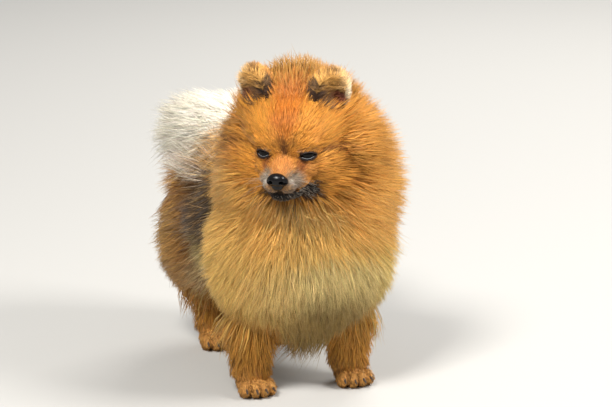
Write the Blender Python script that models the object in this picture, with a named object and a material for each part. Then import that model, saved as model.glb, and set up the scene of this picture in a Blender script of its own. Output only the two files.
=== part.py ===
"""A Pomeranian, life size, that stands with its head turned to its right and its tail fanned over its back.

Metres, +Z up. The dog faces -Y, its left is +X, and its feet stand on z = 0.
Each named part is one closed body. A part meets the next one face to face across a gap of 0.3 mm.
"""

import math

import bmesh
import bpy
import numpy as np
from mathutils import Matrix, Vector

GAP = 0.0003

# Driving sizes of the dog
NECK_BASE = Vector((0.0, -0.020, 0.165))
HEAD_CENTRE = Vector((-0.0132, -0.0721, 0.2395))
HEAD_YAW = math.radians(-34)
HEAD_PITCH = math.radians(6)
HEAD_REACH = 0.024  # from the head's centre to where the neck takes over
FORELEG_SIDE = 0.049
FORELEG_Y = -0.052
FORELEG_TOP = 0.086
HINDLEG_SIDE = 0.034
HINDLEG_Y = 0.110
HINDLEG_TOP = 0.066
LEG_SINK = 0.010  # how far a leg's form would run on into the body
FOOT_FORWARD = {True: 0.010, False: 0.012}  # a foot's centre before its leg's, fore and hind
EYE_PLACE = (0.0180, -0.0235, 0.0012)  # the left eyeball's centre, from the head's
EYE_LOOK_OUT = math.radians(24)
EYE_RADIUS = 0.0092
EYE_BACK = -0.0015  # behind its own middle the eyeball ends in a flat
LID_THICK = 0.0018
SLIT_HALF_WIDTH = 0.0082
SLIT_HALF_HEIGHT = 0.0034
SLIT_SLANT = math.radians(-8)
EAR_PLACE = (0.0310, 0.004, 0.038)  # the left ear's foot, from the head's centre
EAR_LEAN_OUT = math.radians(10)
EAR_TURN_OUT = math.radians(32)
RUFF_ROOM = 0.012  # how far the ruff's share of space reaches past its hair

HEAD = (
    Matrix.Translation(HEAD_CENTRE)
    @ Matrix.Rotation(HEAD_YAW, 4, "Z")
    @ Matrix.Rotation(HEAD_PITCH, 4, "X")
)
BODY = Matrix.Identity(4)

# How far the hair of each coat reaches: ellipsoids, each (centre, radii)
CHEST_COAT = ((0.0, -0.055, 0.128), (0.098, 0.077, 0.082))
MIDDLE_COAT = ((0.0, 0.035, 0.140), (0.088, 0.090, 0.080))
RUMP_COAT = ((0.0, 0.115, 0.108), (0.090, 0.082, 0.080))
BACK_COAT = ((0.0, 0.100, 0.150), (0.078, 0.080, 0.062))
RUFF_COAT = ((0.013, -0.045, 0.200), (0.097, 0.088, 0.117))
CROWN_COAT = ((0.0, 0.012, 0.018), (0.060, 0.052, 0.068))
TAIL_COAT = ((-0.002, 0.100, 0.193), (0.099, 0.094, 0.066))
TAIL_STREAM = ((-0.045, 0.100, 0.222), (0.054, 0.070, 0.038))
BODY_COATS = [CHEST_COAT, MIDDLE_COAT, RUMP_COAT, BACK_COAT]

# Where the rooms of the parts meet
ARCH_TILT = math.radians(22.3)  # the underside of the ruff rises backwards
ARCH_TOP = Vector((0, -0.030, 0.191))
ARCH_DROOP = 4.4  # and falls to both sides, with the square of the distance
DOME_OUTSIDE = ((0, 0.100, 0.140), (0.150, 0.150, 0.150))
DOME_INSIDE = ((0, 0.085, 0.090), (0.112, 0.135, 0.114))
DOME_FLOOR = 0.150

# How the coats and the skin are coloured: linear red, green, blue
ORANGE = (0.58, 0.24, 0.055)
CREAM = (0.72, 0.50, 0.24)
WHITE = (0.80, 0.74, 0.66)
RUST = (0.42, 0.17, 0.045)
BLACK = (0.012, 0.011, 0.012)
HORN = (0.05, 0.035, 0.03)


def finish_of(name, colour, roughness):
    material = bpy.data.materials.new(name)
    material.use_nodes = True
    shader = material.node_tree.nodes["Principled BSDF"]
    shader.inputs["Base Color"].default_value = (*colour, 1.0)
    shader.inputs["Roughness"].default_value = roughness
    shader.inputs["Metallic"].default_value = 0.0
    return material


def new_object(name, mesh):
    made = bpy.data.objects.new(name, mesh)
    bpy.context.scene.collection.objects.link(made)
    return made


def object_of(name, form):
    """The object that holds a bmesh, which is freed."""
    bmesh.ops.recalc_face_normals(form, faces=form.faces)
    mesh = bpy.data.meshes.new(name)
    form.to_mesh(mesh)
    form.free()
    return new_object(name, mesh)


def egg(form, frame=BODY, grow=0.0, detail=3):
    """A closed ellipsoid, set in a frame and grown outwards by a distance."""
    centre, radii = form
    shape = bmesh.new()
    size = Matrix.Diagonal([r + grow for r in radii] + [1.0])
    place = frame @ Matrix.Translation(centre) @ size
    bmesh.ops.create_icosphere(shape, subdivisions=detail, radius=1.0, matrix=place)
    return object_of("egg", shape)


def box(low, high, frame=BODY):
    shape = bmesh.new()
    middle = (Vector(low) + Vector(high)) / 2
    size = Matrix.Diagonal([h - l for l, h in zip(low, high)] + [1.0])
    bmesh.ops.create_cube(shape, size=1.0, matrix=frame @ Matrix.Translation(middle) @ size)
    return object_of("box", shape)


def loft(rings, frame=BODY):
    """A closed body through rings of points, all of one count, with flat caps."""
    shape = bmesh.new()
    rows = [[shape.verts.new(frame @ Vector(p)) for p in ring] for ring in rings]
    for low, high in zip(rows, rows[1:]):
        for i in range(len(low)):
            j = (i + 1) % len(low)
            shape.faces.new((low[i], low[j], high[j], high[i]))
    shape.faces.new(rows[0])
    shape.faces.new(rows[-1])
    return object_of("loft", shape)


def ring(centre, radius_x, radius_y, sides=16):
    """A level ring of points round a centre."""
    turns = [2 * math.pi * i / sides for i in range(sides)]
    return [
        (centre[0] + radius_x * math.cos(a), centre[1] + radius_y * math.sin(a), centre[2])
        for a in turns
    ]


def evaluated(target):
    """Puts the target's modifiers into its mesh."""
    graph = bpy.context.evaluated_depsgraph_get()
    mesh = bpy.data.meshes.new_from_object(target.evaluated_get(graph))
    target.modifiers.clear()
    target.data = mesh
    return target


def combined(target, others, operation):
    """One Boolean of a target with a collection of closed objects, which are then removed."""
    group = bpy.data.collections.new("operands")
    bpy.context.scene.collection.children.link(group)
    for other in others:
        bpy.context.scene.collection.objects.unlink(other)
        group.objects.link(other)
    step = target.modifiers.new("combine", "BOOLEAN")
    step.operation = operation
    step.operand_type = "COLLECTION"
    step.collection = group
    step.solver = "MANIFOLD"
    evaluated(target)
    for other in others:
        bpy.data.objects.remove(other)
    bpy.data.collections.remove(group)
    return target


def fused(pieces):
    """One body from pieces that overlap."""
    return combined(pieces[0], pieces[1:], "UNION") if len(pieces) > 1 else pieces[0]


def without(target, cutters):
    return combined(target, cutters, "DIFFERENCE")


def within(target, room):
    return combined(target, [room], "INTERSECT")


def blended(pieces, voxel, rounds, triangles):
    """One smooth skin over closed pieces that overlap, with about so many triangles."""
    target = pieces[0]
    with bpy.context.temp_override(
        active_object=target, selected_objects=pieces, selected_editable_objects=pieces
    ):
        bpy.ops.object.join()
    remesh = target.modifiers.new("skin", "REMESH")
    remesh.mode = "VOXEL"
    remesh.voxel_size = voxel
    smooth = target.modifiers.new("smooth", "SMOOTH")
    smooth.iterations = rounds
    evaluated(target)
    thin = target.modifiers.new("thin", "DECIMATE")
    thin.ratio = triangles / (2 * len(target.data.polygons))
    return evaluated(target)


def largest(target):
    """Keeps only the target's largest closed surface."""
    shape = bmesh.new()
    shape.from_mesh(target.data)
    bmesh.ops.triangulate(shape, faces=shape.faces)
    shape.faces.ensure_lookup_table()
    seen = set()
    bodies = []
    for start in shape.faces:
        if start in seen:
            continue
        seen.add(start)
        body, edge_of_search = [start], [start]
        while edge_of_search:
            face = edge_of_search.pop()
            for neighbour in (f for e in face.edges for f in e.link_faces if f not in seen):
                seen.add(neighbour)
                body.append(neighbour)
                edge_of_search.append(neighbour)
        bodies.append(body)

    def volume(body):
        corners = ([v.co for v in face.verts] for face in body)
        return abs(sum(a.dot(b.cross(c)) for a, b, c in corners)) / 6

    keep = set(max(bodies, key=volume))
    bmesh.ops.delete(shape, geom=[f for f in shape.faces if f not in keep], context="FACES")
    shape.to_mesh(target.data)
    shape.free()
    return target


def part(name, target, material):
    """Makes a finished form the named part."""
    largest(target)
    target.name = name
    target.data.name = name
    target.data.materials.clear()
    target.data.materials.append(material)
    target.data.shade_smooth()
    target.data.set_sharp_from_angle(angle=math.radians(40))
    return target


def mirrored(form):
    """An ellipsoid form on the left and on the right."""
    (x, y, z), radii = form
    return [((side * x, y, z), radii) for side in (1, -1)]


# The locks of each coat: how far apart they root, their width and their greatest length
CROWN_LOCKS = (0.0222, 0.032, 0.055)
RUFF_LOCKS = (0.0206, 0.035, 0.070)
BODY_LOCKS = (0.0345, 0.049, 0.070)
TAIL_LOCKS = (0.0220, 0.034, 0.085)
LEG_LOCKS = (0.0260, 0.026, 0.030)


# Rooms: each part's share of space. A part keeps out of the room of the next, grown by the gap.
NECK_AXIS = (NECK_BASE - HEAD_CENTRE).normalized()
ARCH = Matrix.Translation(ARCH_TOP) @ Matrix.Rotation(ARCH_TILT, 4, "X")


def head_room(grow=0.0):
    """All that lies before the plane where the head meets the neck."""
    turn = NECK_AXIS.to_track_quat("Z", "Y").to_matrix().to_4x4()
    frame = Matrix.Translation(HEAD_CENTRE) @ turn
    reach = 0.25
    return box((-reach, -reach, -reach), (reach, reach, HEAD_REACH + grow), frame)


def below_ruff(grow=0.0):
    """The body's room under the ruff: its top is an arch that rises backwards and falls to both sides."""
    half_width, reach, steps = 0.15, 0.30, 12
    across = [half_width * (2 * i / steps - 1) for i in range(steps + 1)]
    outline = [(x, grow - ARCH_DROOP * x * x) for x in across]
    outline += [(half_width, -reach), (-half_width, -reach)]
    return loft([[(x, y, z) for x, z in outline] for y in (-reach, reach)], ARCH)


def ruff_room(grow=0.0):
    return without(egg(RUFF_COAT, grow=RUFF_ROOM + grow), [below_ruff(-grow)])


def tail_room(grow=0.0):
    """A dome over the back, thick enough for the fanned tail."""
    floor = box((-0.3, -0.3, -0.3), (0.3, 0.3, DOME_FLOOR - grow))
    return without(egg(DOME_OUTSIDE, grow=grow), [egg(DOME_INSIDE, grow=-grow), floor])


# Half the width and length of a leg's room, fore and hind, and how far it lies before the leg
LEG_ROOM = {True: (0.031, 0.036), False: (0.028, 0.038)}
LEG_ROOM_FORWARD = 0.004


def leg_place(front):
    """How far out, how far back and how high a leg meets the body."""
    if front:
        return FORELEG_SIDE, FORELEG_Y, FORELEG_TOP
    return HINDLEG_SIDE, HINDLEG_Y, HINDLEG_TOP


def leg_room(side, front, grow=0.0):
    """An upright round room for a leg, up to where the body takes over."""
    x, y, top = leg_place(front)
    radius_x, radius_y = LEG_ROOM[front]
    levels = (-0.02, top + grow)
    rings = [((side * x, y - LEG_ROOM_FORWARD, z), radius_x + grow, radius_y + grow) for z in levels]
    return loft([ring(*at, sides=24) for at in rings])


def inside(point, form, grow=0.0):
    centre, radii = form
    return sum(((p - c) / (r + grow)) ** 2 for p, c, r in zip(point, centre, radii)) < 1


def in_head(point, margin=0.0):
    return (point - HEAD_CENTRE).dot(NECK_AXIS) < HEAD_REACH - margin


def in_ruff(point, margin=0.0):
    at = ARCH.inverted() @ point
    return at.z > margin - ARCH_DROOP * at.x**2 and inside(point, RUFF_COAT, RUFF_ROOM - margin)


def in_tail(point, margin=0.0):
    outside_body = not inside(point, DOME_INSIDE, margin)
    return outside_body and inside(point, DOME_OUTSIDE, -margin) and point.z > DOME_FLOOR + margin


# The coat: flat, tapered locks that lie over one another
LOCK_WIDTHS = (0.75, 1.0, 0.62)  # at the root, the belly and the shoulder of a lock
LOCK_STEPS = (0.38, 0.36, 0.26)  # the share of its length from each of these to the next, then to its tip
LOCK_RIDGE = 0.26  # its height as a share of its width
LOCK_SINK = 0.010
HEAD_RIM = 0.007  # the ruff's first row of locks roots this close to the head
LOCK_CURL = math.radians(17)  # it leaves the skin steeper than it ends
LOCK_BENDS = (1.0, 0.2, -1.1)  # how much of that curl each stretch of it has
LOCK_LIFTS = range(20, 90, 8)  # the angles off the skin that are tried, in degrees
LOCK_YAW = 12  # how far a lock strays from the lie, in degrees
LENGTH_RANGE = (0.93, 1.04)
WIDTH_RANGE = (0.85, 1.12)
STUBBY = 0.55  # a lock shorter than this share of its width is left out
SEEDS = {"head": 11, "neck": 12, "torso": 13, "tail": 14, "leg": 20}


def reach(start, way, coats):
    """How far the hair's outer bound lies from a point inside it, along a direction."""
    found = 0.0
    for centre, radii in coats:
        at = [(p - c) / r for p, c, r in zip(start, centre, radii)]
        step = [w / r for w, r in zip(way, radii)]
        a, b = sum(s * s for s in step), sum(p * s for p, s in zip(at, step))
        c = sum(p * p for p in at) - 1
        if c < 0:
            found = max(found, (math.sqrt(b * b - a * c) - b) / a)
    return found


def lock(root, normal, along, lift, length, width):
    """A closed lock: flat below, ridged above, and bent towards the lie of the coat."""
    across = along.cross(normal).normalized()
    centre = root - normal * LOCK_SINK
    angles = [lift + LOCK_CURL * bend for bend in LOCK_BENDS]
    whole = length + LOCK_SINK
    rows = []
    for share, angle, step in zip(LOCK_WIDTHS, angles, LOCK_STEPS):
        way = along * math.cos(angle) + normal * math.sin(angle)
        up = way.cross(across).normalized()
        if up.dot(normal) < 0:
            up.negate()
        half = width * share / 2
        ridge = width * share * LOCK_RIDGE
        rows.append([centre - across * half, centre + across * half, centre + up * ridge])
        centre = centre + way * whole * step
    shape = bmesh.new()
    rings = [[shape.verts.new(p) for p in row] for row in rows]
    tip = shape.verts.new(centre)
    for low, high in zip(rings, rings[1:]):
        for i in range(3):
            j = (i + 1) % 3
            shape.faces.new((low[i], low[j], high[j], high[i]))
    for i in range(3):
        shape.faces.new((rings[-1][i], rings[-1][(i + 1) % 3], tip))
    shape.faces.new(rings[0])
    return object_of("lock", shape)


def roots(skin, spacing, allowed, rng, tries=5000):
    """Points and normals spread evenly over a skin, a spacing apart, with a row along the head first."""
    faces = list(skin.data.polygons)
    areas = np.array([face.area for face in faces])
    tried = []
    for index in rng.choice(len(areas), size=tries, p=areas / areas.sum()):
        corners = [skin.data.vertices[v].co for v in faces[index].vertices]
        shares = rng.dirichlet([1.0] * len(corners))
        point = sum((c * float(w) for c, w in zip(corners, shares)), Vector())
        if allowed(point, faces[index].normal):
            tried.append((point, faces[index]))
    tried.sort(key=lambda found: not in_head(found[0], -HEAD_RIM))
    grid = {}
    found = []
    for point, face in tried:
        cell = tuple(int(math.floor(v / spacing)) for v in point)
        near = (
            other
            for dx in (-1, 0, 1)
            for dy in (-1, 0, 1)
            for dz in (-1, 0, 1)
            for other in grid.get((cell[0] + dx, cell[1] + dy, cell[2] + dz), ())
        )
        if any((point - other).length < spacing for other in near):
            continue
        grid.setdefault(cell, []).append(point)
        found.append((point, face.normal.copy()))
    return found


def locks(skin, spec, coats, lie, allowed, seed):
    """The locks of one coat. spec holds their spacing, width and greatest length."""
    spacing, width, longest = spec
    rng = np.random.default_rng(seed)
    made = []
    for point, normal in roots(skin, spacing, allowed, rng):
        way = lie(point, normal)
        way = way - normal * way.dot(normal)
        if way.length < 1e-6:
            continue
        yaw = math.radians(float(rng.uniform(-LOCK_YAW, LOCK_YAW)))
        along = Matrix.Rotation(yaw, 3, normal) @ way.normalized()
        for degrees in LOCK_LIFTS:
            lift = math.radians(degrees)
            length = reach(point, along * math.cos(lift) + normal * math.sin(lift), coats)
            if length <= longest:
                break
        length = min(length, longest) * float(rng.uniform(*LENGTH_RANGE))
        if length > width * STUBBY:
            size = width * float(rng.uniform(*WIDTH_RANGE))
            made.append(lock(point, normal, along, lift, length, size))
    return made


# The head


def head_place(place, side):
    """A place on the head, given for the left, on the side asked for."""
    x, y, z = place
    return HEAD @ Matrix.Translation((side * x, y, z))


def eye_frame(side):
    """At the eyeball's centre, looking along -Y: forwards and a little to the side."""
    return head_place(EYE_PLACE, side) @ Matrix.Rotation(side * EYE_LOOK_OUT, 4, "Z")


def ear_frame(side):
    """At the ear's foot: +Z up the ear, -Y out of its cup."""
    lean = Matrix.Rotation(side * EAR_LEAN_OUT, 4, "Y")
    return head_place(EAR_PLACE, side) @ lean @ Matrix.Rotation(side * EAR_TURN_OUT, 4, "Z")


EAR_FORM = ((0.0, 0.0, 0.014), (0.0190, 0.0115, 0.0235))
EAR_HOLLOW = ((0.0, -0.0080, 0.0175), (0.0148, 0.0110, 0.0175))
NOSE_FORMS = [
    ((0.0, -0.0635, -0.0120), (0.0088, 0.0060, 0.0062)),
    ((0.0, -0.0620, -0.0170), (0.0060, 0.0050, 0.0060)),
    *mirrored(((0.0055, -0.0620, -0.0137), (0.0046, 0.0052, 0.0044))),
]
JAW_FORMS = [
    ((0.0, -0.0440, -0.0310), (0.0100, 0.0120, 0.0065)),
    ((0.0, -0.0330, -0.0325), (0.0145, 0.0165, 0.0080)),
    ((0.0, -0.0200, -0.0305), (0.0190, 0.0170, 0.0100)),
    *mirrored(((0.0190, -0.0190, -0.0230), (0.0060, 0.0090, 0.0060))),
]
FACE_FORMS = [
    ((0.0, 0.002, 0.014), (0.0380, 0.0410, 0.0370)),
    ((0.0, -0.014, 0.020), (0.0310, 0.0240, 0.0260)),
    ((0.0, -0.0420, -0.0130), (0.0120, 0.0215, 0.0120)),
    ((0.0, -0.0360, -0.0060), (0.0095, 0.0225, 0.0090)),
    *mirrored(((0.0070, -0.0510, -0.0200), (0.0090, 0.0115, 0.0078))),
    *mirrored(((0.0125, -0.0340, -0.0190), (0.0105, 0.0160, 0.0095))),
    *mirrored(((0.0240, -0.0040, -0.0130), (0.0190, 0.0250, 0.0240))),
    *mirrored(((0.0170, -0.0250, 0.0115), (0.0120, 0.0090, 0.0060))),
    ((0.0, 0.022, -0.010), (0.0540, 0.0300, 0.0500)),
]
CROWN_FORM = ((0.0, 0.018, 0.020), (0.0440, 0.0400, 0.0470))


def eyelids(side):
    """The two lids, one shell that the almond of the half-closed eye is cut from."""
    return egg(((0, 0, 0), [EYE_RADIUS] * 3), eye_frame(side), LID_THICK)


def eye_slit(side):
    """The almond between the lids: where two round rods cross."""
    front, back, steps = -0.02, EYE_BACK - 0.001, 10
    bow = (SLIT_HALF_WIDTH**2 + SLIT_HALF_HEIGHT**2) / (2 * SLIT_HALF_HEIGHT)
    frame = eye_frame(side) @ Matrix.Rotation(side * SLIT_SLANT, 4, "Y")
    across = [SLIT_HALF_WIDTH * (2 * i / steps - 1) for i in range(steps + 1)]
    rise = [math.sqrt(bow**2 - x**2) - (bow - SLIT_HALF_HEIGHT) for x in across]
    upper = list(zip(across, rise))
    lower = [(x, -z) for x, z in reversed(upper[1:-1])]
    rings = [[(x, y, z) for x, z in upper + lower] for y in (front, back)]
    return loft(rings, frame)


def nostrils():
    """Comma-shaped nostrils, open to the front and the sides, and the groove between them."""
    cuts = [
        egg(form, HEAD, detail=2)
        for form in mirrored(((0.0050, -0.0690, -0.0133), (0.0019, 0.0045, 0.0016)))
        + mirrored(((0.0086, -0.0660, -0.0145), (0.0030, 0.0022, 0.0008)))
    ]
    groove = box((-0.0003, -0.073, -0.0265), (0.0003, -0.0665, -0.0130), HEAD)
    return cuts + [groove]


def swollen(target, grow):
    """The target with each corner moved out by a distance."""
    for corner in target.data.vertices:
        corner.co += corner.normal * grow
    return target


def nose_pad(grow=0.0):
    pad = blended([egg(form, HEAD) for form in NOSE_FORMS], voxel=0.0006, rounds=3, triangles=240)
    return swollen(pad, grow)


def jaw_form(grow=0.0):
    jaw = blended([egg(form, HEAD) for form in JAW_FORMS], voxel=0.0012, rounds=3, triangles=280)
    return swollen(jaw, grow)


def nose():
    return without(nose_pad(), nostrils())


def lower_jaw():
    return within(jaw_form(), head_room())


def eyeball(side, grow=0.0):
    """The front of the eyeball, which is all that the lids leave room for."""
    reach = 0.05
    back = box((-reach, -reach, -reach), (reach, EYE_BACK + grow, reach), eye_frame(side))
    return within(egg(((0, 0, 0), [EYE_RADIUS] * 3), eye_frame(side), grow), back)


def ear(side):
    return without(egg(EAR_FORM, ear_frame(side)), [egg(EAR_HOLLOW, ear_frame(side))])


def head_core():
    forms = FACE_FORMS + [CROWN_FORM]
    skin = blended([egg(f, HEAD) for f in forms], voxel=0.0017, rounds=5, triangles=1440)
    return fused([skin] + [eyelids(side) for side in (1, -1)])


def head(skull, hair):
    made = fused([skull] + hair)
    cuts = [eyeball(s, GAP) for s in (1, -1)]
    cuts += [eye_slit(s) for s in (1, -1)]
    cuts += [egg(EAR_FORM, ear_frame(s), GAP) for s in (1, -1)]
    cuts += [nose_pad(GAP), jaw_form(GAP)]
    without(made, cuts)
    return within(made, head_room())


# The body


NECK_FORMS = [
    ((-0.006, -0.056, 0.216), (0.056, 0.052, 0.050)),
    ((0.004, -0.036, 0.198), (0.064, 0.062, 0.060)),
    ((0.006, -0.030, 0.176), (0.068, 0.064, 0.050)),
]
TORSO_FORMS = [
    ((0.0, -0.044, 0.142), (0.072, 0.062, 0.064)),
    ((0.0, -0.078, 0.112), (0.052, 0.034, 0.044)),
    ((0.0, 0.035, 0.146), (0.066, 0.080, 0.056)),
    ((0.0, 0.108, 0.140), (0.064, 0.060, 0.062)),
    *mirrored(((0.046, -0.050, 0.112), (0.030, 0.036, 0.044))),
    *mirrored(((0.038, 0.108, 0.094), (0.032, 0.046, 0.050))),
]
TAIL_FORMS = [
    ((0.0, 0.140, 0.200), (0.018, 0.022, 0.026)),
    ((-0.002, 0.112, 0.218), (0.044, 0.048, 0.024)),
    ((-0.004, 0.072, 0.212), (0.038, 0.036, 0.020)),
]


# A leg's rings, fore and hind: height, how far back, and radius. The last ring is the one inside the body.
FORELEG_IN = FORELEG_TOP + LEG_SINK
HINDLEG_IN = HINDLEG_TOP + LEG_SINK
LEG_RINGS = {
    True: [(0.006, 0, 0.0140), (0.020, 0, 0.0175), (0.045, 0, 0.0195), (FORELEG_IN, 0, 0.0245)],
    False: [(0.006, 0, 0.0120), (0.022, 0, 0.0145), (0.045, 0.003, 0.0165), (HINDLEG_IN, 0, 0.0210)],
}
LEG_DEPTH = 1.08  # from front to back, as a share of its width
PAW_FORM = ((0, 0.002, 0.009), (0.0165, 0.0175, 0.0125))
TOE_FORM = ((0, 0, 0), (0.0062, 0.0105, 0.0082))
TOE_SIDES = (0.0115, 0.0040, -0.0040, -0.0115)
TOE_FRONT = -0.0125
TOE_STAGGER = 0.55  # how far the outer toes lie back, as a share of their distance from the middle
TOE_SPREAD = 14  # radians that a toe turns for each metre from the middle
TOE_HEIGHT = 0.0075
# A claw's rings: how far forward, height above the toe's middle, and radius
CLAW_RINGS = [(-0.0060, 0.0016, 0.0015), (-0.0110, 0.0014, 0.0012), (-0.0142, 0.0, 0.0007)]
CLAW_DEPTH = 1.3
CLAW_SIDES = 6


def foot_frame(side, front):
    x, y, _ = leg_place(front)
    return Matrix.Translation((side * x, y - FOOT_FORWARD[front], 0))


def toe_places():
    """(x, y, turn) of the four toes, from the outer to the inner one."""
    return [(x, TOE_FRONT + abs(x) * TOE_STAGGER, x * TOE_SPREAD) for x in TOE_SIDES]


def toe_frame(side, front, place):
    x, y, turn = place
    return foot_frame(side, front) @ Matrix.Translation((x, y, TOE_HEIGHT)) @ Matrix.Rotation(turn, 4, "Z")


def claw(side, front, place, grow=0.0):
    """A small curved claw that leaves the toe's front and bends down."""
    frame = toe_frame(side, front, place)
    turns = [2 * math.pi * i / CLAW_SIDES for i in range(CLAW_SIDES)]
    rings = []
    for y, z, radius in CLAW_RINGS:
        wide = radius + grow
        rings.append([(wide * math.cos(a), y, z + CLAW_DEPTH * wide * math.sin(a)) for a in turns])
    rings[0] = [(x, y + grow, z) for x, y, z in rings[0]]
    return loft(rings, frame)


def leg(side, front):
    """A leg with its foot: the sole is flat, at z = 0."""
    x, y, _ = leg_place(front)
    levels = [((side * x, y + back, z), radius) for z, back, radius in LEG_RINGS[front]]
    shaft = loft([ring(centre, radius, radius * LEG_DEPTH) for centre, radius in levels])
    toes = [egg(TOE_FORM, toe_frame(side, front, place)) for place in toe_places()]
    pieces = [shaft, egg(PAW_FORM, foot_frame(side, front))] + toes
    made = blended(pieces, voxel=0.0012, rounds=2, triangles=290)
    seed = SEEDS["leg"] + side + 3 * front
    hair = locks(made, LEG_LOCKS, [leg_coat(side, front)], leg_lie, feather_root(front), seed)
    fused([made] + hair)
    cuts = [box((-0.3, -0.3, -0.05), (0.3, 0.3, 0.0))]
    cuts += [claw(side, front, place, GAP) for place in toe_places()]
    without(made, cuts)
    return within(made, leg_room(side, front))


# The lie of each coat: the way that a lock at a point leans, before it is laid along the skin


RUFF_PARTING = Vector((-0.020, -0.095, 0.222))
TAIL_PARTING = Vector((0.004, 0.085, 0.205))


def head_lie(point, normal):
    """Out from the face on all sides, back at the cheeks, and up between the ears."""
    at = HEAD.inverted() @ point
    return HEAD.to_3x3() @ Vector((2.2 * at.x, 0.030 - 0.3 * at.z, 1.5 * at.z + 0.004))


def ruff_lie(point, normal):
    """Out from the face on all sides, and a little back."""
    way = point - RUFF_PARTING
    return Vector((way.x, 0.25 * way.y + 0.018, way.z - 0.012))


def body_lie(point, normal):
    """Down the chest, back along the sides and down the breeches."""
    front = min(max((-0.045 - point.y) / 0.05, 0.0), 1.0)
    rear = min(max((point.y - 0.09) / 0.06, 0.0), 1.0)
    return Vector((2.5 * point.x, 0.85 * (1 - front) - 0.45 * rear - 0.1, -0.55 - 0.45 * max(front, rear)))


def tail_lie(point, normal):
    """Out from the tail's bow to both sides, and back at its root."""
    out = point - TAIL_PARTING
    return Vector((2.0 * out.x, 0.9 * out.y, 0.004))


def leg_lie(point, normal):
    """Straight down a leg, and a little back."""
    return Vector((0.0, 0.25, -1.0))


# Where each coat has roots


def crown_root(point, normal):
    """On the skull's top, sides and back, clear of the face and of the cups of the ears."""
    at = HEAD.inverted() @ point
    if at.y < 0.006 - 0.6 * max(at.z - 0.015, 0.0):
        return False
    for side in (1, -1):
        to_ear = ear_frame(side).inverted() @ point
        if abs(to_ear.x) < 0.017 and -0.036 < to_ear.y < 0.004 and to_ear.z > -0.020:
            return False
    return in_head(point, 0.003)


def ruff_root(point, normal):
    return in_ruff(point, 0.004) and not in_head(point, -0.002)


def torso_root(point, normal):
    if in_ruff(point, -0.006) or in_tail(point, -0.006):
        return False
    under = point.z < 0.085 and abs(point.x) < 0.03 and -0.02 < point.y < 0.07
    legs = [(side, front) for side in (1, -1) for front in (True, False)]
    return not under and not any(near_leg(point, side, front) for side, front in legs)


def tail_root(point, normal):
    return in_tail(point, 0.003) and not in_ruff(point, -0.004) and normal.z > -0.5


# How far a leg's feathers reach, fore and hind: how far it lies back, its middle's height, and the radii
LEG_COATS = {True: (0.002, 0.060, (0.0295, 0.0335, 0.062)), False: (0.002, 0.048, (0.0265, 0.0335, 0.050))}
FEATHER_LOW = 0.030  # the feathers root above the foot
FEATHER_TOP = 0.010  # and this far below the top of the leg


def leg_coat(side, front):
    x, y, _ = leg_place(front)
    back, middle, radii = LEG_COATS[front]
    return ((side * x, y + back, middle), radii)


def feather_root(front):
    """Roots on the back and the sides of a leg, above the foot."""
    top = leg_place(front)[2] - FEATHER_TOP

    def allowed(point, normal):
        return FEATHER_LOW < point.z < top and normal.y > -0.75 and abs(normal.z) < 0.5

    return allowed


def near_leg(point, side, front):
    x, y, top = leg_place(front)
    return math.hypot(point.x - side * x, point.y - y) < 0.026 and point.z < top + 0.004


def body_of(forms, triangles, voxel=0.0025):
    return blended([egg(form) for form in forms], voxel=voxel, rounds=6, triangles=triangles)


def stand_at_origin():
    """Moves the whole dog so that its outer box stands centred on the origin."""
    bodies = [o for o in bpy.data.objects if o.type == "MESH"]
    corners = [v.co for body in bodies for v in body.data.vertices]
    low = Vector([min(c[i] for c in corners) for i in range(3)])
    high = Vector([max(c[i] for c in corners) for i in range(3)])
    shift = -Vector(((low.x + high.x) / 2, (low.y + high.y) / 2, low.z))
    for body in bodies:
        body.data.transform(Matrix.Translation(shift))


def clear_scene():
    for old in list(bpy.data.objects):
        bpy.data.objects.remove(old)


def main():
    clear_scene()
    orange = finish_of("orange_coat", ORANGE, 0.75)
    cream = finish_of("cream_coat", CREAM, 0.75)
    white = finish_of("white_coat", WHITE, 0.75)
    rust = finish_of("rust_coat", RUST, 0.75)
    black = finish_of("black_skin", BLACK, 0.35)
    horn = finish_of("claw_horn", HORN, 0.45)
    wet = finish_of("eye", BLACK, 0.05)

    crown = [(HEAD @ Vector(CROWN_COAT[0]), CROWN_COAT[1]), RUFF_COAT]
    skull = head_core()
    part("head", head(skull, locks(skull, CROWN_LOCKS, crown, head_lie, crown_root, SEEDS["head"])), orange)
    part("lower_jaw", lower_jaw(), black)
    part("nose", nose(), black)
    for side, word in ((1, "left"), (-1, "right")):
        part(f"ear_{word}", ear(side), orange)
        part(f"eye_{word}", eyeball(side), wet)

    neck = body_of(NECK_FORMS, 420)
    neck = fused([neck] + locks(neck, RUFF_LOCKS, [RUFF_COAT], ruff_lie, ruff_root, SEEDS["neck"]))
    part("neck", within(without(neck, [head_room(GAP)]), ruff_room()), orange)

    torso = body_of(TORSO_FORMS, 680)
    torso = fused([torso] + locks(torso, BODY_LOCKS, BODY_COATS, body_lie, torso_root, SEEDS["torso"]))
    rooms = [ruff_room(GAP), tail_room(GAP)]
    rooms += [leg_room(side, front, GAP) for side in (1, -1) for front in (True, False)]
    part("torso", without(torso, rooms), cream)

    tail = body_of(TAIL_FORMS, 240)
    plumes = locks(tail, TAIL_LOCKS, [TAIL_COAT, TAIL_STREAM], tail_lie, tail_root, SEEDS["tail"])
    part("tail", without(within(fused([tail] + plumes), tail_room()), [ruff_room(GAP)]), white)

    for side, word in ((1, "left"), (-1, "right")):
        for front, kind in ((True, "fore"), (False, "hind")):
            part(f"{kind}leg_{word}", leg(side, front), rust)
            for number, place in enumerate(toe_places(), 1):
                part(f"claw_{kind}_{word}_{number}", claw(side, front, place), horn)
    stand_at_origin()


main()
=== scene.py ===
"""A standing Pomeranian on a pale studio floor: its skin, coat, eyes, nose, ears and claws.

Lengths are in metres and colours are linear. The dog is built in a frame of its own, in which its
body faces -Y and its left side is +X. SHIFT moves every piece onto the CAD's frame at the end.
"""

import math

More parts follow.
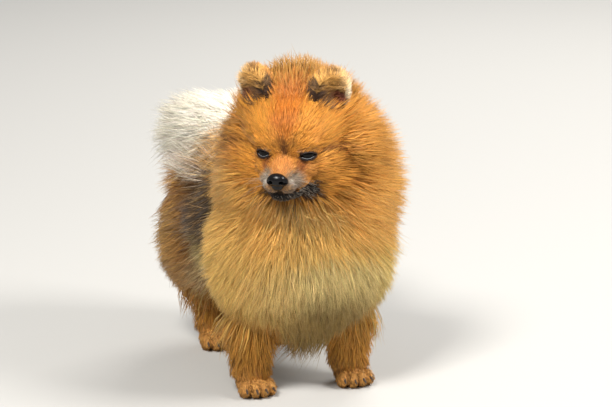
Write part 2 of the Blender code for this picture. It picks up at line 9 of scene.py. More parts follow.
import bmesh
import bpy
import numpy as np
from mathutils import Matrix, Vector
from mathutils.kdtree import KDTree


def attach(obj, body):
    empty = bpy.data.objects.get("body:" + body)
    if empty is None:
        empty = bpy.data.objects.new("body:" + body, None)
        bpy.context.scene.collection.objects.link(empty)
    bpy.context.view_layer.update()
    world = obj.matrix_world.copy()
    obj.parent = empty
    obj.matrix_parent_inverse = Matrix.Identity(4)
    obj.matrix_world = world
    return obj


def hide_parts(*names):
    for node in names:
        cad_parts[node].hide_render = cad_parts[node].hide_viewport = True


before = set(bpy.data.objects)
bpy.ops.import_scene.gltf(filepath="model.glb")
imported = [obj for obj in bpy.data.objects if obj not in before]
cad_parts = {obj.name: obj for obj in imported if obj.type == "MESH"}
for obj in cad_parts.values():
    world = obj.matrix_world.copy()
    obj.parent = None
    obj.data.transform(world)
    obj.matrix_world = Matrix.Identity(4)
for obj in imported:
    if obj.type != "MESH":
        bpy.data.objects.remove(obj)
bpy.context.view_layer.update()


def v(*values):
    return np.array(values, dtype=float)


# Named sizes

SIDES = ((1, "left"), (-1, "right"))
SHIFT = Vector((-0.008223, -0.031391, 0.0))
BODY = Matrix.Identity(4)

NECK_BASE = Vector((0.0, -0.020, 0.165))
HEAD_CENTRE = Vector((-0.0132, -0.0721, 0.2395))
HEAD_REACH = 0.024
HEAD_TURN, HEAD_NOD = math.radians(-34), math.radians(6)
NECK_AXIS = (NECK_BASE - HEAD_CENTRE).normalized()
HEAD = (
    Matrix.Translation(HEAD_CENTRE)
    @ Matrix.Rotation(HEAD_TURN, 4, "Z")
    @ Matrix.Rotation(HEAD_NOD, 4, "X")
)
HEAD_UP = np.array(HEAD.inverted())[2, :3]
NOSE_TIP = v(0, -0.062, -0.012)

EYE_SIDE, EYE_FRONT, EYE_HEIGHT, EYE_RADIUS = 0.0180, -0.0235, 0.0012, 0.0092
EYE_TURN = math.radians(24)
EYE_TILT = {1: math.radians(-2), -1: math.radians(-3)}
LID_THICKNESS, LID_GAP, SLIT_DEPTH = 0.0016, 0.0002, 0.02
# half the width and half the height
EYE_OPENING, EYE_RIM = (0.0084, 0.0036), (0.0086, 0.0038)
RIM_PROUD, RIM_RADIUS = 0.0012, 0.00055
WET_PROUD, WET_RADIUS, WET_HALF_WIDTH = 0.0002, 0.00016, 0.0056
WET_HEIGHT, WET_BOW = -0.0026, 0.0016

EAR_SIDE, EAR_FRONT, EAR_HEIGHT = 0.0310, 0.004, 0.038
EAR_LEAN, EAR_TURN = math.radians(10), math.radians(32)

# Legs: where a pair stands, how far its paws lie ahead, and its girth from the foot up as
# (height, how far back, radius)
FORE_X, FORE_Y, FORE_STEP = 0.049, -0.052, 0.010
HIND_X, HIND_Y, HIND_STEP = 0.034, 0.110, 0.012
FORE_GIRTH = [(0.006, 0, 0.0130), (0.020, 0, 0.0160), (0.045, 0, 0.0182), (0.100, 0, 0.0236)]
HIND_GIRTH = [(0.006, 0, 0.0110), (0.022, 0, 0.0135), (0.045, 0.003, 0.0155), (0.085, 0, 0.0205)]
LEG_PAIRS = (
    (FORE_X, FORE_Y, FORE_STEP, FORE_GIRTH),
    (HIND_X, HIND_Y, HIND_STEP, HIND_GIRTH),
)
LEG_OVAL = 1.08
TOES_X = (0.0118, 0.0041, -0.0041, -0.0118)
TOE_SPLAY, TOE_AHEAD, TOE_STAGGER, TOE_HEIGHT = 14, 0.0125, 0.55, 0.0076

# How far the hair of each coat reaches, as ellipsoids: (centre, radii)
CROWN_COAT = ((0.0, 0.012, 0.018), (0.060, 0.052, 0.068))
COATS = [
    ((0.0, -0.055, 0.128), (0.098, 0.077, 0.082)),  # chest
    ((0.0, 0.035, 0.140), (0.088, 0.090, 0.080)),  # middle
    ((0.0, 0.115, 0.108), (0.090, 0.082, 0.080)),  # rump
    ((0.0, 0.100, 0.150), (0.078, 0.080, 0.062)),  # back
    ((0.013, -0.045, 0.200), (0.097, 0.088, 0.117)),  # ruff
    (tuple(HEAD @ Vector(CROWN_COAT[0])), CROWN_COAT[1]),
    ((-0.002, 0.100, 0.193), (0.099, 0.094, 0.066)),  # tail
    ((-0.045, 0.100, 0.222), (0.054, 0.070, 0.038)),  # the tail's stream
]


def mirrored(form):
    (x, y, z), radii = form
    return [((side * x, y, z), radii) for side, _ in SIDES]


# The flesh, as ellipsoids: (centre, radii), with the head's in the head's frame
FACE_FORMS = [
    ((0.0, 0.002, 0.014), (0.0375, 0.0405, 0.0365)),
    ((0.0, -0.014, 0.020), (0.0305, 0.0235, 0.0255)),
    ((0.0, -0.0420, -0.0130), (0.0115, 0.0215, 0.0118)),
    ((0.0, -0.0360, -0.0060), (0.0092, 0.0225, 0.0088)),
    *mirrored(((0.0068, -0.0510, -0.0198), (0.0085, 0.0112, 0.0074))),
    *mirrored(((0.0125, -0.0340, -0.0185), (0.0105, 0.0155, 0.0090))),
    *mirrored(((0.0085, -0.0340, -0.0090), (0.0090, 0.0150, 0.0080))),
    *mirrored(((0.0190, -0.0260, -0.0120), (0.0090, 0.0120, 0.0080))),
    *mirrored(((0.0235, -0.0040, -0.0130), (0.0185, 0.0245, 0.0235))),
    *mirrored(((0.0170, -0.0250, 0.0115), (0.0120, 0.0088, 0.0058))),
    ((0.0, 0.022, -0.010), (0.0530, 0.0290, 0.0490)),
    ((0.0, 0.018, 0.020), (0.0430, 0.0390, 0.0455)),
]
JAW_FORMS = [
    ((0.0, -0.0440, -0.0312), (0.0112, 0.0118, 0.0062)),
    ((0.0, -0.0330, -0.0318), (0.0165, 0.0160, 0.0074)),
    ((0.0, -0.0200, -0.0300), (0.0225, 0.0165, 0.0092)),
    *mirrored(((0.0225, -0.0210, -0.0262), (0.0062, 0.0088, 0.0054))),
]
NOSE_FORMS = [
    ((0.0, -0.0635, -0.0120), (0.0088, 0.0060, 0.0062)),
    ((0.0, -0.0620, -0.0170), (0.0060, 0.0050, 0.0060)),
    *mirrored(((0.0055, -0.0620, -0.0137), (0.0046, 0.0052, 0.0044))),
]
NECK_FORMS = [
    ((-0.006, -0.056, 0.216), (0.054, 0.050, 0.048)),
    ((0.004, -0.036, 0.198), (0.062, 0.060, 0.058)),
    ((0.006, -0.030, 0.176), (0.066, 0.062, 0.048)),
]
TORSO_FORMS = [
    ((0.0, -0.044, 0.142), (0.070, 0.060, 0.062)),
    ((0.0, -0.078, 0.112), (0.050, 0.032, 0.042)),
    ((0.0, 0.035, 0.146), (0.064, 0.080, 0.054)),
    ((0.0, 0.108, 0.140), (0.062, 0.058, 0.060)),
    *mirrored(((0.046, -0.050, 0.112), (0.029, 0.035, 0.043))),
    *mirrored(((0.038, 0.108, 0.094), (0.031, 0.045, 0.049))),
]
TAIL_FORMS = [
    ((0.0, 0.140, 0.200), (0.016, 0.020, 0.025)),
    ((-0.002, 0.112, 0.218), (0.042, 0.046, 0.022)),
    ((-0.004, 0.072, 0.212), (0.036, 0.034, 0.018)),
]
PAW_FORM = ((0, 0.0035, 0.0090), (0.0148, 0.0160, 0.0112))
TOE_FORM = ((0, 0, 0), (0.0052, 0.0100, 0.0076))
EAR_FORM = ((0.0, 0.0, 0.0135), (0.0182, 0.0103, 0.0212))
EAR_HOLLOW = ((0.0, -0.0095, 0.0160), (0.0150, 0.0070, 0.0170))
NOSTRIL_HOLE = ((0.0050, -0.0690, -0.0133), (0.0022, 0.0050, 0.0018))
NOSTRIL_SLIT = ((0.0086, -0.0660, -0.0145), (0.0034, 0.0025, 0.0010))


def ball_form(radius):
    return ((0, 0, 0), [radius] * 3)


def eye_frame(side):
    return (
        HEAD
        @ Matrix.Translation((side * EYE_SIDE, EYE_FRONT, EYE_HEIGHT))
        @ Matrix.Rotation(side * EYE_TURN, 4, "Z")
    )


def tilted_eye_frame(side):
    return eye_frame(side) @ Matrix.Rotation(EYE_TILT[side], 4, "Y")


def ear_frame(side):
    return (
        HEAD
        @ Matrix.Translation((side * EAR_SIDE, EAR_FRONT, EAR_HEIGHT))
        @ Matrix.Rotation(side * EAR_LEAN, 4, "Y")
        @ Matrix.Rotation(side * EAR_TURN, 4, "Z")
    )


# Mesh helpers


def new_object(name, mesh):
    made = bpy.data.objects.new(name, mesh)
    bpy.context.scene.collection.objects.link(made)
    return made


def object_of(name, form):
    bmesh.ops.recalc_face_normals(form, faces=form.faces)
    mesh = bpy.data.meshes.new(name)
    form.to_mesh(mesh)
    form.free()
    return new_object(name, mesh)


def egg(form, place=BODY, grow=0.0, detail=5):
    """A closed ellipsoid."""
    centre, radii = form
    shape = bmesh.new()
    size = Matrix.Diagonal([r + grow for r in radii] + [1.0])
    bmesh.ops.create_icosphere(
        shape, subdivisions=detail, radius=1.0, matrix=place @ Matrix.Translation(centre) @ size
    )
    return object_of("egg", shape)


def loft(rings, place=BODY, closed=False):
    """A skin over rings of points, with a cap at each end unless the last ring meets the first."""
    shape = bmesh.new()
    rows = [[shape.verts.new(place @ Vector(p)) for p in ring] for ring in rings]
    for low, high in list(zip(rows, rows[1:])) + ([(rows[-1], rows[0])] if closed else []):
        for i in range(len(low)):
            j = (i + 1) % len(low)
            shape.faces.new((low[i], low[j], high[j], high[i]))
    if not closed:
        shape.faces.new(rows[0])
        shape.faces.new(rows[-1])
    return object_of("loft", shape)


def turns_of(sides):
    return [2 * math.pi * i / sides for i in range(sides)]


def ring(centre, radius_x, radius_y, sides=24):
    x, y, z = centre
    return [(x + radius_x * math.cos(a), y + radius_y * math.sin(a), z) for a in turns_of(sides)]


def tube(points, radius, sides=8, closed=False, taper=False):
    """A round tube along a line of points."""
    points = [Vector(p) for p in points]
    count = len(points)
    rings = []
    across = None
    for i, point in enumerate(points):
        if closed:
            along = points[(i + 1) % count] - points[i - 1]
        else:
            along = points[min(i + 1, count - 1)] - points[max(i - 1, 0)]
        along.normalize()
        if across is None:
            across = along.orthogonal().normalized()
        else:
            across = (across - along * across.dot(along)).normalized()
        upward = along.cross(across)
        size = radius * (1 - 0.9 * i / (count - 1)) if taper else radius
        rings.append(
            [point + (across * math.cos(t) + upward * math.sin(t)) * size for t in turns_of(sides)]
        )
    return loft(rings, closed=closed)


def evaluated(target):
    graph = bpy.context.evaluated_depsgraph_get()
    mesh = bpy.data.meshes.new_from_object(target.evaluated_get(graph))
    target.modifiers.clear()
    target.data = mesh
    return target


def combined(target, others, operation):
    """One Boolean of a closed piece with a list of others, which are then removed."""
    group = bpy.data.collections.new("operands")
    bpy.context.scene.collection.children.link(group)
    for other in others:
        bpy.context.scene.collection.objects.unlink(other)
        group.objects.link(other)
    step = target.modifiers.new("combine", "BOOLEAN")
    step.operation = operation
    step.operand_type = "COLLECTION"
    step.collection = group
    step.solver = "MANIFOLD"
    evaluated(target)
    for other in others:
        bpy.data.objects.remove(other)
    bpy.data.collections.remove(group)
    return target


def joined(pieces):
    target = pieces[0]
    with bpy.context.temp_override(
        active_object=target, selected_objects=pieces, selected_editable_objects=pieces
    ):
        bpy.ops.object.join()
    return target


def blended(pieces, voxel, rounds):
    """One smooth skin over closed pieces that overlap."""
    target = joined(pieces)
    remesh = target.modifiers.new("skin", "REMESH")
    remesh.mode = "VOXEL"
    remesh.voxel_size = voxel
    soften = target.modifiers.new("soften", "SMOOTH")
    soften.iterations = rounds
    return evaluated(target)


def finished(target, name, paint):
    """A piece with smooth shading, its name and its one material."""
    target.name = name
    target.data.polygons.foreach_set("use_smooth", np.ones(len(target.data.polygons), dtype=bool))
    target.data.materials.clear()
    target.data.materials.append(paint)
    return target


# The skin


def almond(half_width, half_height, steps=16):
    """The outline of an open eye as (x, z), the upper lid first."""
    bow = (half_width**2 + half_height**2) / (2 * half_height)
    across = [half_width * (2 * i / steps - 1) for i in range(steps + 1)]
    rise = [math.sqrt(bow**2 - x**2) - (bow - half_height) for x in across]
    upper = list(zip(across, rise))
    return upper + [(x, -z) for x, z in reversed(upper[1:-1])]


def eye_slit(side):
    rings = [[(x, y, z) for x, z in almond(*EYE_OPENING)] for y in (-SLIT_DEPTH, 0.0)]
    return loft(rings, tilted_eye_frame(side))


def ear_shell(side):
    place = ear_frame(side)
    return combined(egg(EAR_FORM, place), [egg(EAR_HOLLOW, place)], "DIFFERENCE")


def leg_forms(side, x, y, step, girth):
    """A leg, and the ball and the four toes of its paw."""
    foot = Matrix.Translation((side * x, y - step, 0))
    leg = loft([ring((side * x, y + back, z), r, r * LEG_OVAL) for z, back, r in girth])
    paw = [egg(PAW_FORM, foot)]
    for toe_x in TOES_X:
        turn = Matrix.Rotation(toe_x * TOE_SPLAY, 4, "Z")
        ahead = -TOE_AHEAD + abs(toe_x) * TOE_STAGGER
        toe = foot @ Matrix.Translation((toe_x, ahead, TOE_HEIGHT)) @ turn
        paw.append(egg(TOE_FORM, toe, detail=4))
    return leg, paw


def build_skin():
    """The head with its eye sockets, the two ears, and the rest of the body with its paws."""
    head = blended([egg(form, HEAD) for form in FACE_FORMS], voxel=0.0011, rounds=9)
    lids = [egg(ball_form(EYE_RADIUS + LID_THICKNESS), eye_frame(side)) for side, _ in SIDES]
    head = combined(head, lids, "UNION")
    cuts = [egg(ball_form(EYE_RADIUS), eye_frame(side), LID_GAP) for side, _ in SIDES]
    cuts += [eye_slit(side) for side, _ in SIDES]
    head = combined(head, cuts, "DIFFERENCE")
    ears = [ear_shell(side) for side, _ in SIDES]
    trunk = [egg(form) for form in NECK_FORMS + TORSO_FORMS + TAIL_FORMS]
    paws = []
    for side, _ in SIDES:
        for pair in LEG_PAIRS:
            leg, paw = leg_forms(side, *pair)
            trunk.append(leg)
            paws.append(blended(paw, voxel=0.0008, rounds=2))
    trunk = blended(trunk, voxel=0.0019, rounds=5)
    trunk = combined(trunk, paws, "UNION")
    below = loft([ring((0, 0.05, z), 0.5, 0.5, 8) for z in (-0.05, 0.0)])
    trunk = combined(trunk, [below], "DIFFERENCE")
    return head, ears, trunk


# Masks and directions, as arrays over points


def smooth(low, high, value):
    """0 up to low and 1 from high on, with a soft step between them."""
    t = np.clip((value - low) / (high - low), 0.0, 1.0)
    return t * t * (3 - 2 * t)


def unit(vectors):
    return vectors / np.maximum(np.linalg.norm(vectors, axis=1, keepdims=True), 1e-9)


def to_local(points, matrix):
    inverse = np.array(matrix.inverted())
    return points @ inverse[:3, :3].T + inverse[:3, 3]


def turned(vectors, matrix):
    return vectors @ np.array(matrix)[:3, :3].T


def blend(one, other, share):
    return one * (1 - share) + other * share


def risen(way, normals, lift):
    """The way turned up from the skin by an angle for each tuft."""
    return way * np.cos(lift)[:, None] + normals * np.sin(lift)[:, None]


def off_form(points, form, grow=(0.0, 0.0, 0.0)):
    """How far out of an ellipsoid each point lies, where 1 is its surface."""
    centre, radii = form
    return np.linalg.norm((points - v(*centre)) / (v(*radii) + v(*grow)), axis=1)


def blob(points, centre, radii, soft=0.35):
    """1 inside an ellipsoid, fading to 0 outside it."""
    return 1 - smooth(1 - soft, 1 + soft, off_form(points, (centre, radii)))


def along_line(points, start, end, near, far):
    """1 within a distance of a straight line, fading to 0 farther off."""
    a, b = v(*start), v(*end)
    t = np.clip(((points - a) @ (b - a)) / ((b - a) @ (b - a)), 0, 1)
    return 1 - smooth(near, far, np.linalg.norm(points - a - t[:, None] * (b - a), axis=1))


def from_eye(points, side, stretch):
    """The distance of each point from an eye's middle, in its stretched frame."""
    return np.linalg.norm(to_local(points, eye_frame(side)) * v(*stretch), axis=1)


def wavy(points, scale, seed, waves=6):
    """Smooth noise from about -1 to 1."""
    rng = np.random.default_rng(seed)
    total = np.zeros(len(points))
    for _ in range(waves):
        way = rng.normal(size=3)
        way /= np.linalg.norm(way)
        turns = points @ way * (2 * math.pi / scale) * rng.uniform(0.7, 1.5)
        total += np.sin(turns + rng.uniform(0, 6.28))
    return total / waves * 1.6


def reach(start, way, coats):
    """How far each point lies along its way from the outline of the coats."""
    found = np.zeros(len(start))
    for centre, radii in coats:
        at = (start - v(*centre)) / v(*radii)
        step = way / v(*radii)
        a = (step * step).sum(1)
        b = (at * step).sum(1)
        c = (at * at).sum(1) - 1
        root = np.sqrt(np.maximum(b * b - a * c, 0))
        found = np.where(c < 0, np.maximum(found, (root - b) / a), found)
    return found


def region_weights(points):
    """How far each point belongs to the head, the ruff, the tail and the legs; the rest is body."""
    x, y, z = points.T
    beyond = (points - v(*HEAD_CENTRE)) @ v(*NECK_AXIS) - HEAD_REACH
    head = 1 - smooth(-0.012, 0.012, beyond)
    arch = z - (0.191 + 0.41 * (y + 0.03) - 4.4 * x**2)
    ruff = smooth(-0.016, 0.016, arch) * (1 - smooth(0.035, 0.055, y)) * (1 - head)
    tail = smooth(0.196, 0.206, z + 0.9 * np.abs(x) ** 1.6) * smooth(0.030, 0.050, y)
    tail = tail * (1 - head) * (1 - ruff)
    legs = np.zeros(len(points))
    for leg_x, leg_y, top in ((FORE_X, FORE_Y, 0.092), (HIND_X, HIND_Y, 0.078)):
        off = np.hypot(np.abs(x) - leg_x, y - leg_y)
        legs = np.maximum(legs, (1 - smooth(0.030, 0.040, off)) * (1 - smooth(top - 0.022, top, z)))
    feet = 1 - smooth(0.020, 0.030, z)
    return head, ruff, tail, np.maximum(legs, feet)


# Lie and length of the coat

RUFF_FROM, PLUME_FROM = v(-0.020, -0.095, 0.222), v(0.004, 0.085, 0.205)
LEG_WAY, FOOT_WAY = v(0, 0.18, -1.0), v(0, -0.90, -0.45)
MUZZLE_HAIR, BROW_HAIR, CHEEK_HAIR, THROAT_HAIR, LIP_HAIR = 0.0035, 0.009, 0.034, 0.010, 0.0030
FOREHEAD_HAIR, CROWN_HAIR, BODY_HAIR, TAIL_HAIR = 0.003, 0.030, 0.062, 0.085
FOOT_HAIR, SHIN_HAIR, THIGH_HAIR = 0.0046, 0.0095, 0.012


def lie_of(points, normals):
    """The way that the coat lies at each point."""
    head, ruff, tail, legs = region_weights(points)
    x, y, z = points.T
    at = to_local(points, HEAD)
    # on the head: away from the nose, up the forehead, out over the cheeks
    away = at - NOSE_TIP
    face = unit(np.stack([1.3 * away[:, 0], away[:, 1] * 0.9, away[:, 2] + 0.004], axis=1))
    outer = np.stack([2.2 * at[:, 0], 0.026 - 0.3 * at[:, 2], 1.5 * at[:, 2] + 0.004], axis=1)
    mix = smooth(-0.030, 0.012, at[:, 1])[:, None]
    head_way = turned(unit(blend(face, unit(outer), mix)), HEAD)
    # on the ruff and the tail: out from a point inside
    out = points - RUFF_FROM
    ruff_way = unit(np.stack([out[:, 0], 0.25 * out[:, 1] + 0.018, out[:, 2] - 0.012], axis=1))
    plume = points - PLUME_FROM
    level = np.full(len(points), 0.004)
    tail_way = unit(np.stack([2.0 * plume[:, 0], 0.9 * plume[:, 1], level], axis=1))
    # on the body: back and down, and straight down in front and behind
    front = np.clip((-0.045 - y) / 0.05, 0, 1)
    rear = np.clip((y - 0.09) / 0.06, 0, 1)
    backward = 0.85 * (1 - front) - 0.45 * rear - 0.1
    downward = -0.55 - 0.45 * np.maximum(front, rear)
    body_way = unit(np.stack([2.5 * x, backward, downward], axis=1))
    leg_way = blend(LEG_WAY, FOOT_WAY, smooth(0.030, 0.018, z)[:, None])
    rest = np.clip(1 - head - ruff - tail, 0, 1)
    way = (
        head[:, None] * head_way
        + ruff[:, None] * ruff_way
        + tail[:, None] * tail_way
        + rest[:, None] * body_way
    )
    way = blend(way, leg_way, legs[:, None])
    way = unit(way - normals * (way * normals).sum(1)[:, None])
    swirl = 0.16 * wavy(points, 0.060, 8) + 0.12 * wavy(points, 0.024, 9)
    swirl = (swirl * (1 - 0.8 * (head > 0.5)))[:, None]
    return unit(way * np.cos(swirl) + np.cross(normals, way) * np.sin(swirl))


def length_of(points):
    """The greatest length of the hair at each point."""
    head, ruff, tail, legs = region_weights(points)
    z = points[:, 2]
    at = to_local(points, HEAD)
    # short on the muzzle and round the eyes, longer over the brow and the cheeks
    from_nose = np.linalg.norm(at - NOSE_TIP, axis=1)
    on_face = MUZZLE_HAIR + BROW_HAIR * smooth(0.030, 0.058, from_nose)
    on_face = on_face + CHEEK_HAIR * smooth(0.050, 0.088, from_nose)
    throat = smooth(-0.030, -0.038, at[:, 2]) * smooth(0.022, 0.004, at[:, 1])
    on_face = blend(on_face, THROAT_HAIR, throat)
    forehead = smooth(0.010, 0.055, at[:, 2]) * (at[:, 1] < 0.01)
    on_face = on_face * (1 - 0.80 * forehead) + FOREHEAD_HAIR * forehead
    on_face = blend(on_face, CROWN_HAIR, smooth(0.046, 0.064, at[:, 2]))
    lips = smooth(-0.018, -0.023, at[:, 2]) * smooth(-0.020, -0.028, at[:, 1])
    on_face = blend(on_face, LIP_HAIR, lips)
    on_leg = FOOT_HAIR + SHIN_HAIR * smooth(0.012, 0.028, z) + THIGH_HAIR * smooth(0.030, 0.080, z)
    whole = blend(np.full(len(points), BODY_HAIR), on_face, head)
    return blend(blend(whole, TAIL_HAIR, tail), on_leg, legs)


# Colours

ORANGE, CREAM = v(0.60, 0.235, 0.030), v(0.76, 0.575, 0.235)
BLACK, GREY = v(0.012, 0.008, 0.007), v(0.31, 0.28, 0.235)
# trunk
CHEST_GOLD, CHEST_TOP = v(0.62, 0.420, 0.105), v(0.76, 0.375, 0.075)
CHEST_PALE, CHEST_PAINTED_SHADE = v(0.80, 0.62, 0.27), v(0.20, 0.115, 0.025)
CHEST_RIGHT_PAINTED_LIGHT, FLANK_BROWN = v(0.84, 0.47, 0.120), v(0.29, 0.110, 0.023)
ELBOW_CREAM, SADDLE_BLACK = v(0.93, 0.76, 0.44), v(0.034, 0.012, 0.005)
SADDLE_STRAND, SIDE_TIPS = v(0.46, 0.25, 0.095), v(0.66, 0.365, 0.095)
# ruff, tail and legs
RUFF_RIGHT_PAINTED_LIGHT, RUFF_LOW = v(0.90, 0.455, 0.100), v(0.86, 0.455, 0.098)
RUFF_RIM, RUFF_LEFT = v(0.70, 0.47, 0.15), v(0.80, 0.385, 0.080)
RUFF_SHADE = v(0.44, 0.17, 0.026)
WHITE, PLUME_TAN, TAIL_ROOT_BROWN_AND_SHADOW = v(0.84, 0.81, 0.73), v(0.60, 0.44, 0.24), v(0.34, 0.14, 0.035)
LEG_TAN, PAW_TAN, TOE_GAP_SHADE = v(0.52, 0.225, 0.030), v(0.58, 0.275, 0.070), v(0.10, 0.035, 0.008)
# head
FACE_ORANGE, CHEEK_LEFT = v(0.64, 0.262, 0.034), v(0.62, 0.27, 0.042)
FOREHEAD_RED, CROWN_BROWN = v(0.50, 0.135, 0.012), v(0.34, 0.165, 0.032)
BRIDGE_TAN, MUZZLE_BROWN = v(0.66, 0.255, 0.065), v(0.42, 0.165, 0.035)
CROWN_RED, TEAR_BROWN = v(0.44, 0.130, 0.018), v(0.20, 0.045, 0.008)
STREAK_BROWN, TEMPLE_BROWN = v(0.085, 0.020, 0.004), v(0.12, 0.036, 0.006)
LID_TAN, LID_CREASE, UNDER_EYE = v(0.52, 0.30, 0.16), v(0.16, 0.050, 0.010), v(0.30, 0.110, 0.030)
PAD_GREY, PAD_EDGE, LIP_GREY = v(0.20, 0.175, 0.145), v(0.84, 0.78, 0.68), v(0.16, 0.135, 0.110)
STOP_BROWN, GREYED_HAIR = v(0.050, 0.011, 0.003), v(0.22, 0.20, 0.17)
LID_SKIN = v(0.030, 0.014, 0.010)
# ears
EAR_TAN, EAR_TOP, EAR_LOW_SHADE = v(0.60, 0.315, 0.078), v(0.74, 0.51, 0.25), v(0.085, 0.032, 0.010)
EAR_CUP_SHADE, EAR_RIM, EAR_INNER = v(0.140, 0.020, 0.006), v(0.82, 0.68, 0.46), v(0.034, 0.013, 0.006)
EAR_CREST, EAR_BACK = v(0.110, 0.045, 0.016), v(0.62, 0.27, 0.055)

# Marks of both sides of the face in the head's frame, for the left side: colour, strength on the
# left and on the right, mask, and what the mask takes
FACE_PAIRS = [
    (TEAR_BROWN, 0.80, 0.80, blob, (0.0150, -0.036, -0.0065), (0.0062, 0.0120, 0.0070), 0.5),
    (STREAK_BROWN, 0.85, 0.60, along_line, (0.029, -0.019, 0.0018), (0.058, 0.008, -0.0005),
     0.0012, 0.0058),
    (TEMPLE_BROWN, 0.55, 0.35, blob, (0.056, 0.002, 0.000), (0.014, 0.016, 0.0090)),
    (LID_TAN, 0.70, 0.70, along_line, (0.0130, -0.034, 0.0058), (0.0240, -0.028, 0.0066),
     0.0008, 0.0024),
    (LID_CREASE, 0.60, 0.60, along_line, (0.0100, -0.034, 0.0088), (0.0270, -0.026, 0.0100),
     0.0005, 0.0026),
    (UNDER_EYE, 0.60, 0.60, along_line, (0.0130, -0.034, -0.0045), (0.0270, -0.026, -0.0040),
     0.0008, 0.0030),
    (PAD_GREY, 0.90, 0.0, blob, (0.0120, -0.052, -0.0165), (0.0110, 0.0120, 0.0085), 0.5),
    (GREY, 0.0, 0.90, blob, (0.0120, -0.052, -0.0165), (0.0110, 0.0120, 0.0085), 0.5),
    (PAD_EDGE, 0.30, 0.85, along_line, (0.0098, -0.060, -0.0060), (0.0135, -0.056, -0.0200),
     0.0008, 0.0030),
]
# Dark smudges of the stop: centre, radii, strength
STOP_MARKS = [
    ((0.0010, -0.036, 0.0080), (0.0040, 0.012, 0.0062), 0.85),
    ((-0.0015, -0.034, 0.0150), (0.0050, 0.012, 0.0052), 0.60),
    ((0.0085, -0.034, 0.0140), (0.0032, 0.012, 0.0046), 0.45),
    ((-0.0090, -0.034, 0.0120), (0.0028, 0.012, 0.0040), 0.35),
]
# The lower edge of the upper lip: z over y
LIP_LINE = ([-0.056, -0.040, -0.022], [-0.0280, -0.0285, -0.0225])


def painted(base, marks):
    """A base colour with marks (colour, mask) laid over it in turn."""
    for colour, mask in marks:
        base = blend(base, colour, mask[:, None])
    return base


def trunk_colour(points, noise, fine):
    """Gold chest, dark saddle behind the ruff, brown flanks, cream behind and below, with painted
    shade low on the chest and painted light on the right of the chest.
    """
    x, y, z = points.T
    belly = blob(points, (0.0, 0.010, 0.078), (0.110, 0.045, 0.045)) * 0.85
    elbows = [
        blob(points, (side * 0.076, 0.022, 0.070), (0.036, 0.052, 0.034), 0.5) for side, _ in SIDES
    ]
    saddle = smooth(-0.030, 0.000, y) * (1 - smooth(0.060, 0.095, y + 0.01 * noise))
    saddle = saddle * smooth(0.105, 0.140, z + 0.012 * noise)
    tips = smooth(0.066, 0.086, np.abs(x) + 0.004 * fine) * smooth(0.075, 0.115, y)
    return painted(CHEST_GOLD, [
        (CHEST_TOP, 0.70 * smooth(0.126, 0.150, z + 0.008 * noise) * smooth(0.0, -0.05, y)),
        (CHEST_PALE, 0.85 * blob(points, (0.0, -0.115, 0.108), (0.080, 0.060, 0.030))),
        # painted shade: the chest darker low down, between the forelegs
        (CHEST_PAINTED_SHADE, 0.88 * blob(points, (0.010, -0.105, 0.048), (0.080, 0.095, 0.056))),
        # painted light: the right of the chest brighter and more golden, as on its lit side
        (CHEST_RIGHT_PAINTED_LIGHT, 0.60 * smooth(-0.005, -0.065, x + 0.008 * noise) * smooth(0.0, -0.04, y)),
        (FLANK_BROWN, 0.92 * smooth(0.030, 0.075, y + 0.008 * noise) * smooth(0.035, 0.075, z)),
        (CREAM, belly * smooth(-0.045, -0.015, y)),
        *[(ELBOW_CREAM, 0.95 * patch) for patch in elbows],
        (SADDLE_BLACK, 0.94 * saddle),
        (CREAM * 0.80, 0.80 * smooth(0.150, 0.185, y + 0.006 * noise)),
        (SIDE_TIPS, 0.85 * tips),
    ])


def ruff_colour(points, noise):
    """Orange, with cream below the chin and at the lower edge and the rim, and painted light on its
    right side.
    """
    x, y, z = points.T
    off = np.hypot(x - 0.012, (z - 0.200) * 0.86)
    return painted(ORANGE, [
        # painted light: the right side of the ruff brighter and more golden, as on its lit side
        (RUFF_RIGHT_PAINTED_LIGHT, smooth(0.02, -0.06, x + 0.01 * noise) * 0.9),
        (CREAM, 0.70 * blob(points, (-0.016, -0.130, 0.166), (0.040, 0.040, 0.020))),
        (RUFF_LOW, 0.75 * smooth(0.190, 0.150, z + 0.008 * noise)),
        (CREAM, 0.50 * smooth(0.130, 0.112, z + 0.006 * noise)),
        (RUFF_RIM, 0.45 * smooth(0.075, 0.105, off)),
        (RUFF_LEFT, 0.75 * smooth(0.015, 0.060, x + 0.008 * noise)),
        (RUFF_SHADE, 0.3 * smooth(0.2, 0.9, noise) * smooth(0.0, 0.04, x)),
    ])


def tail_colour(points, noise):
    """White, with a tan underside and a brown root that is partly painted shadow where the tail
    lies on the body.
    """
    return painted(WHITE, [
        (PLUME_TAN, 0.6 * smooth(0.198, 0.172, points[:, 2] + 0.008 * noise)),
        # brown root of the tail, partly its own colour and partly painted shadow where it lies on
        # the body
        (TAIL_ROOT_BROWN_AND_SHADOW, 0.75 * blob(points, (-0.025, 0.060, 0.196), (0.055, 0.036, 0.022))),
    ])


def leg_colour(points):
    """Tan, with painted shade in the gaps between the toes."""
    x, y, z = points.T
    marks = [(PAW_TAN, smooth(0.034, 0.018, z) * 0.8)]
    for foot_x, leg_y, step, _ in LEG_PAIRS:
        foot_y = leg_y - step
        off = np.abs(x) - foot_x
        from_gap = np.minimum(np.abs(np.abs(off) - 0.0080), np.abs(off))
        gap = smooth(0.0014, 0.0006, from_gap) * (y < foot_y - 0.008) * (y > foot_y - 0.040)
        # painted shade in the gaps between the toes
        marks.append((TOE_GAP_SHADE, 0.7 * gap * smooth(0.016, 0.011, z)))
    return painted(LEG_TAN, marks)


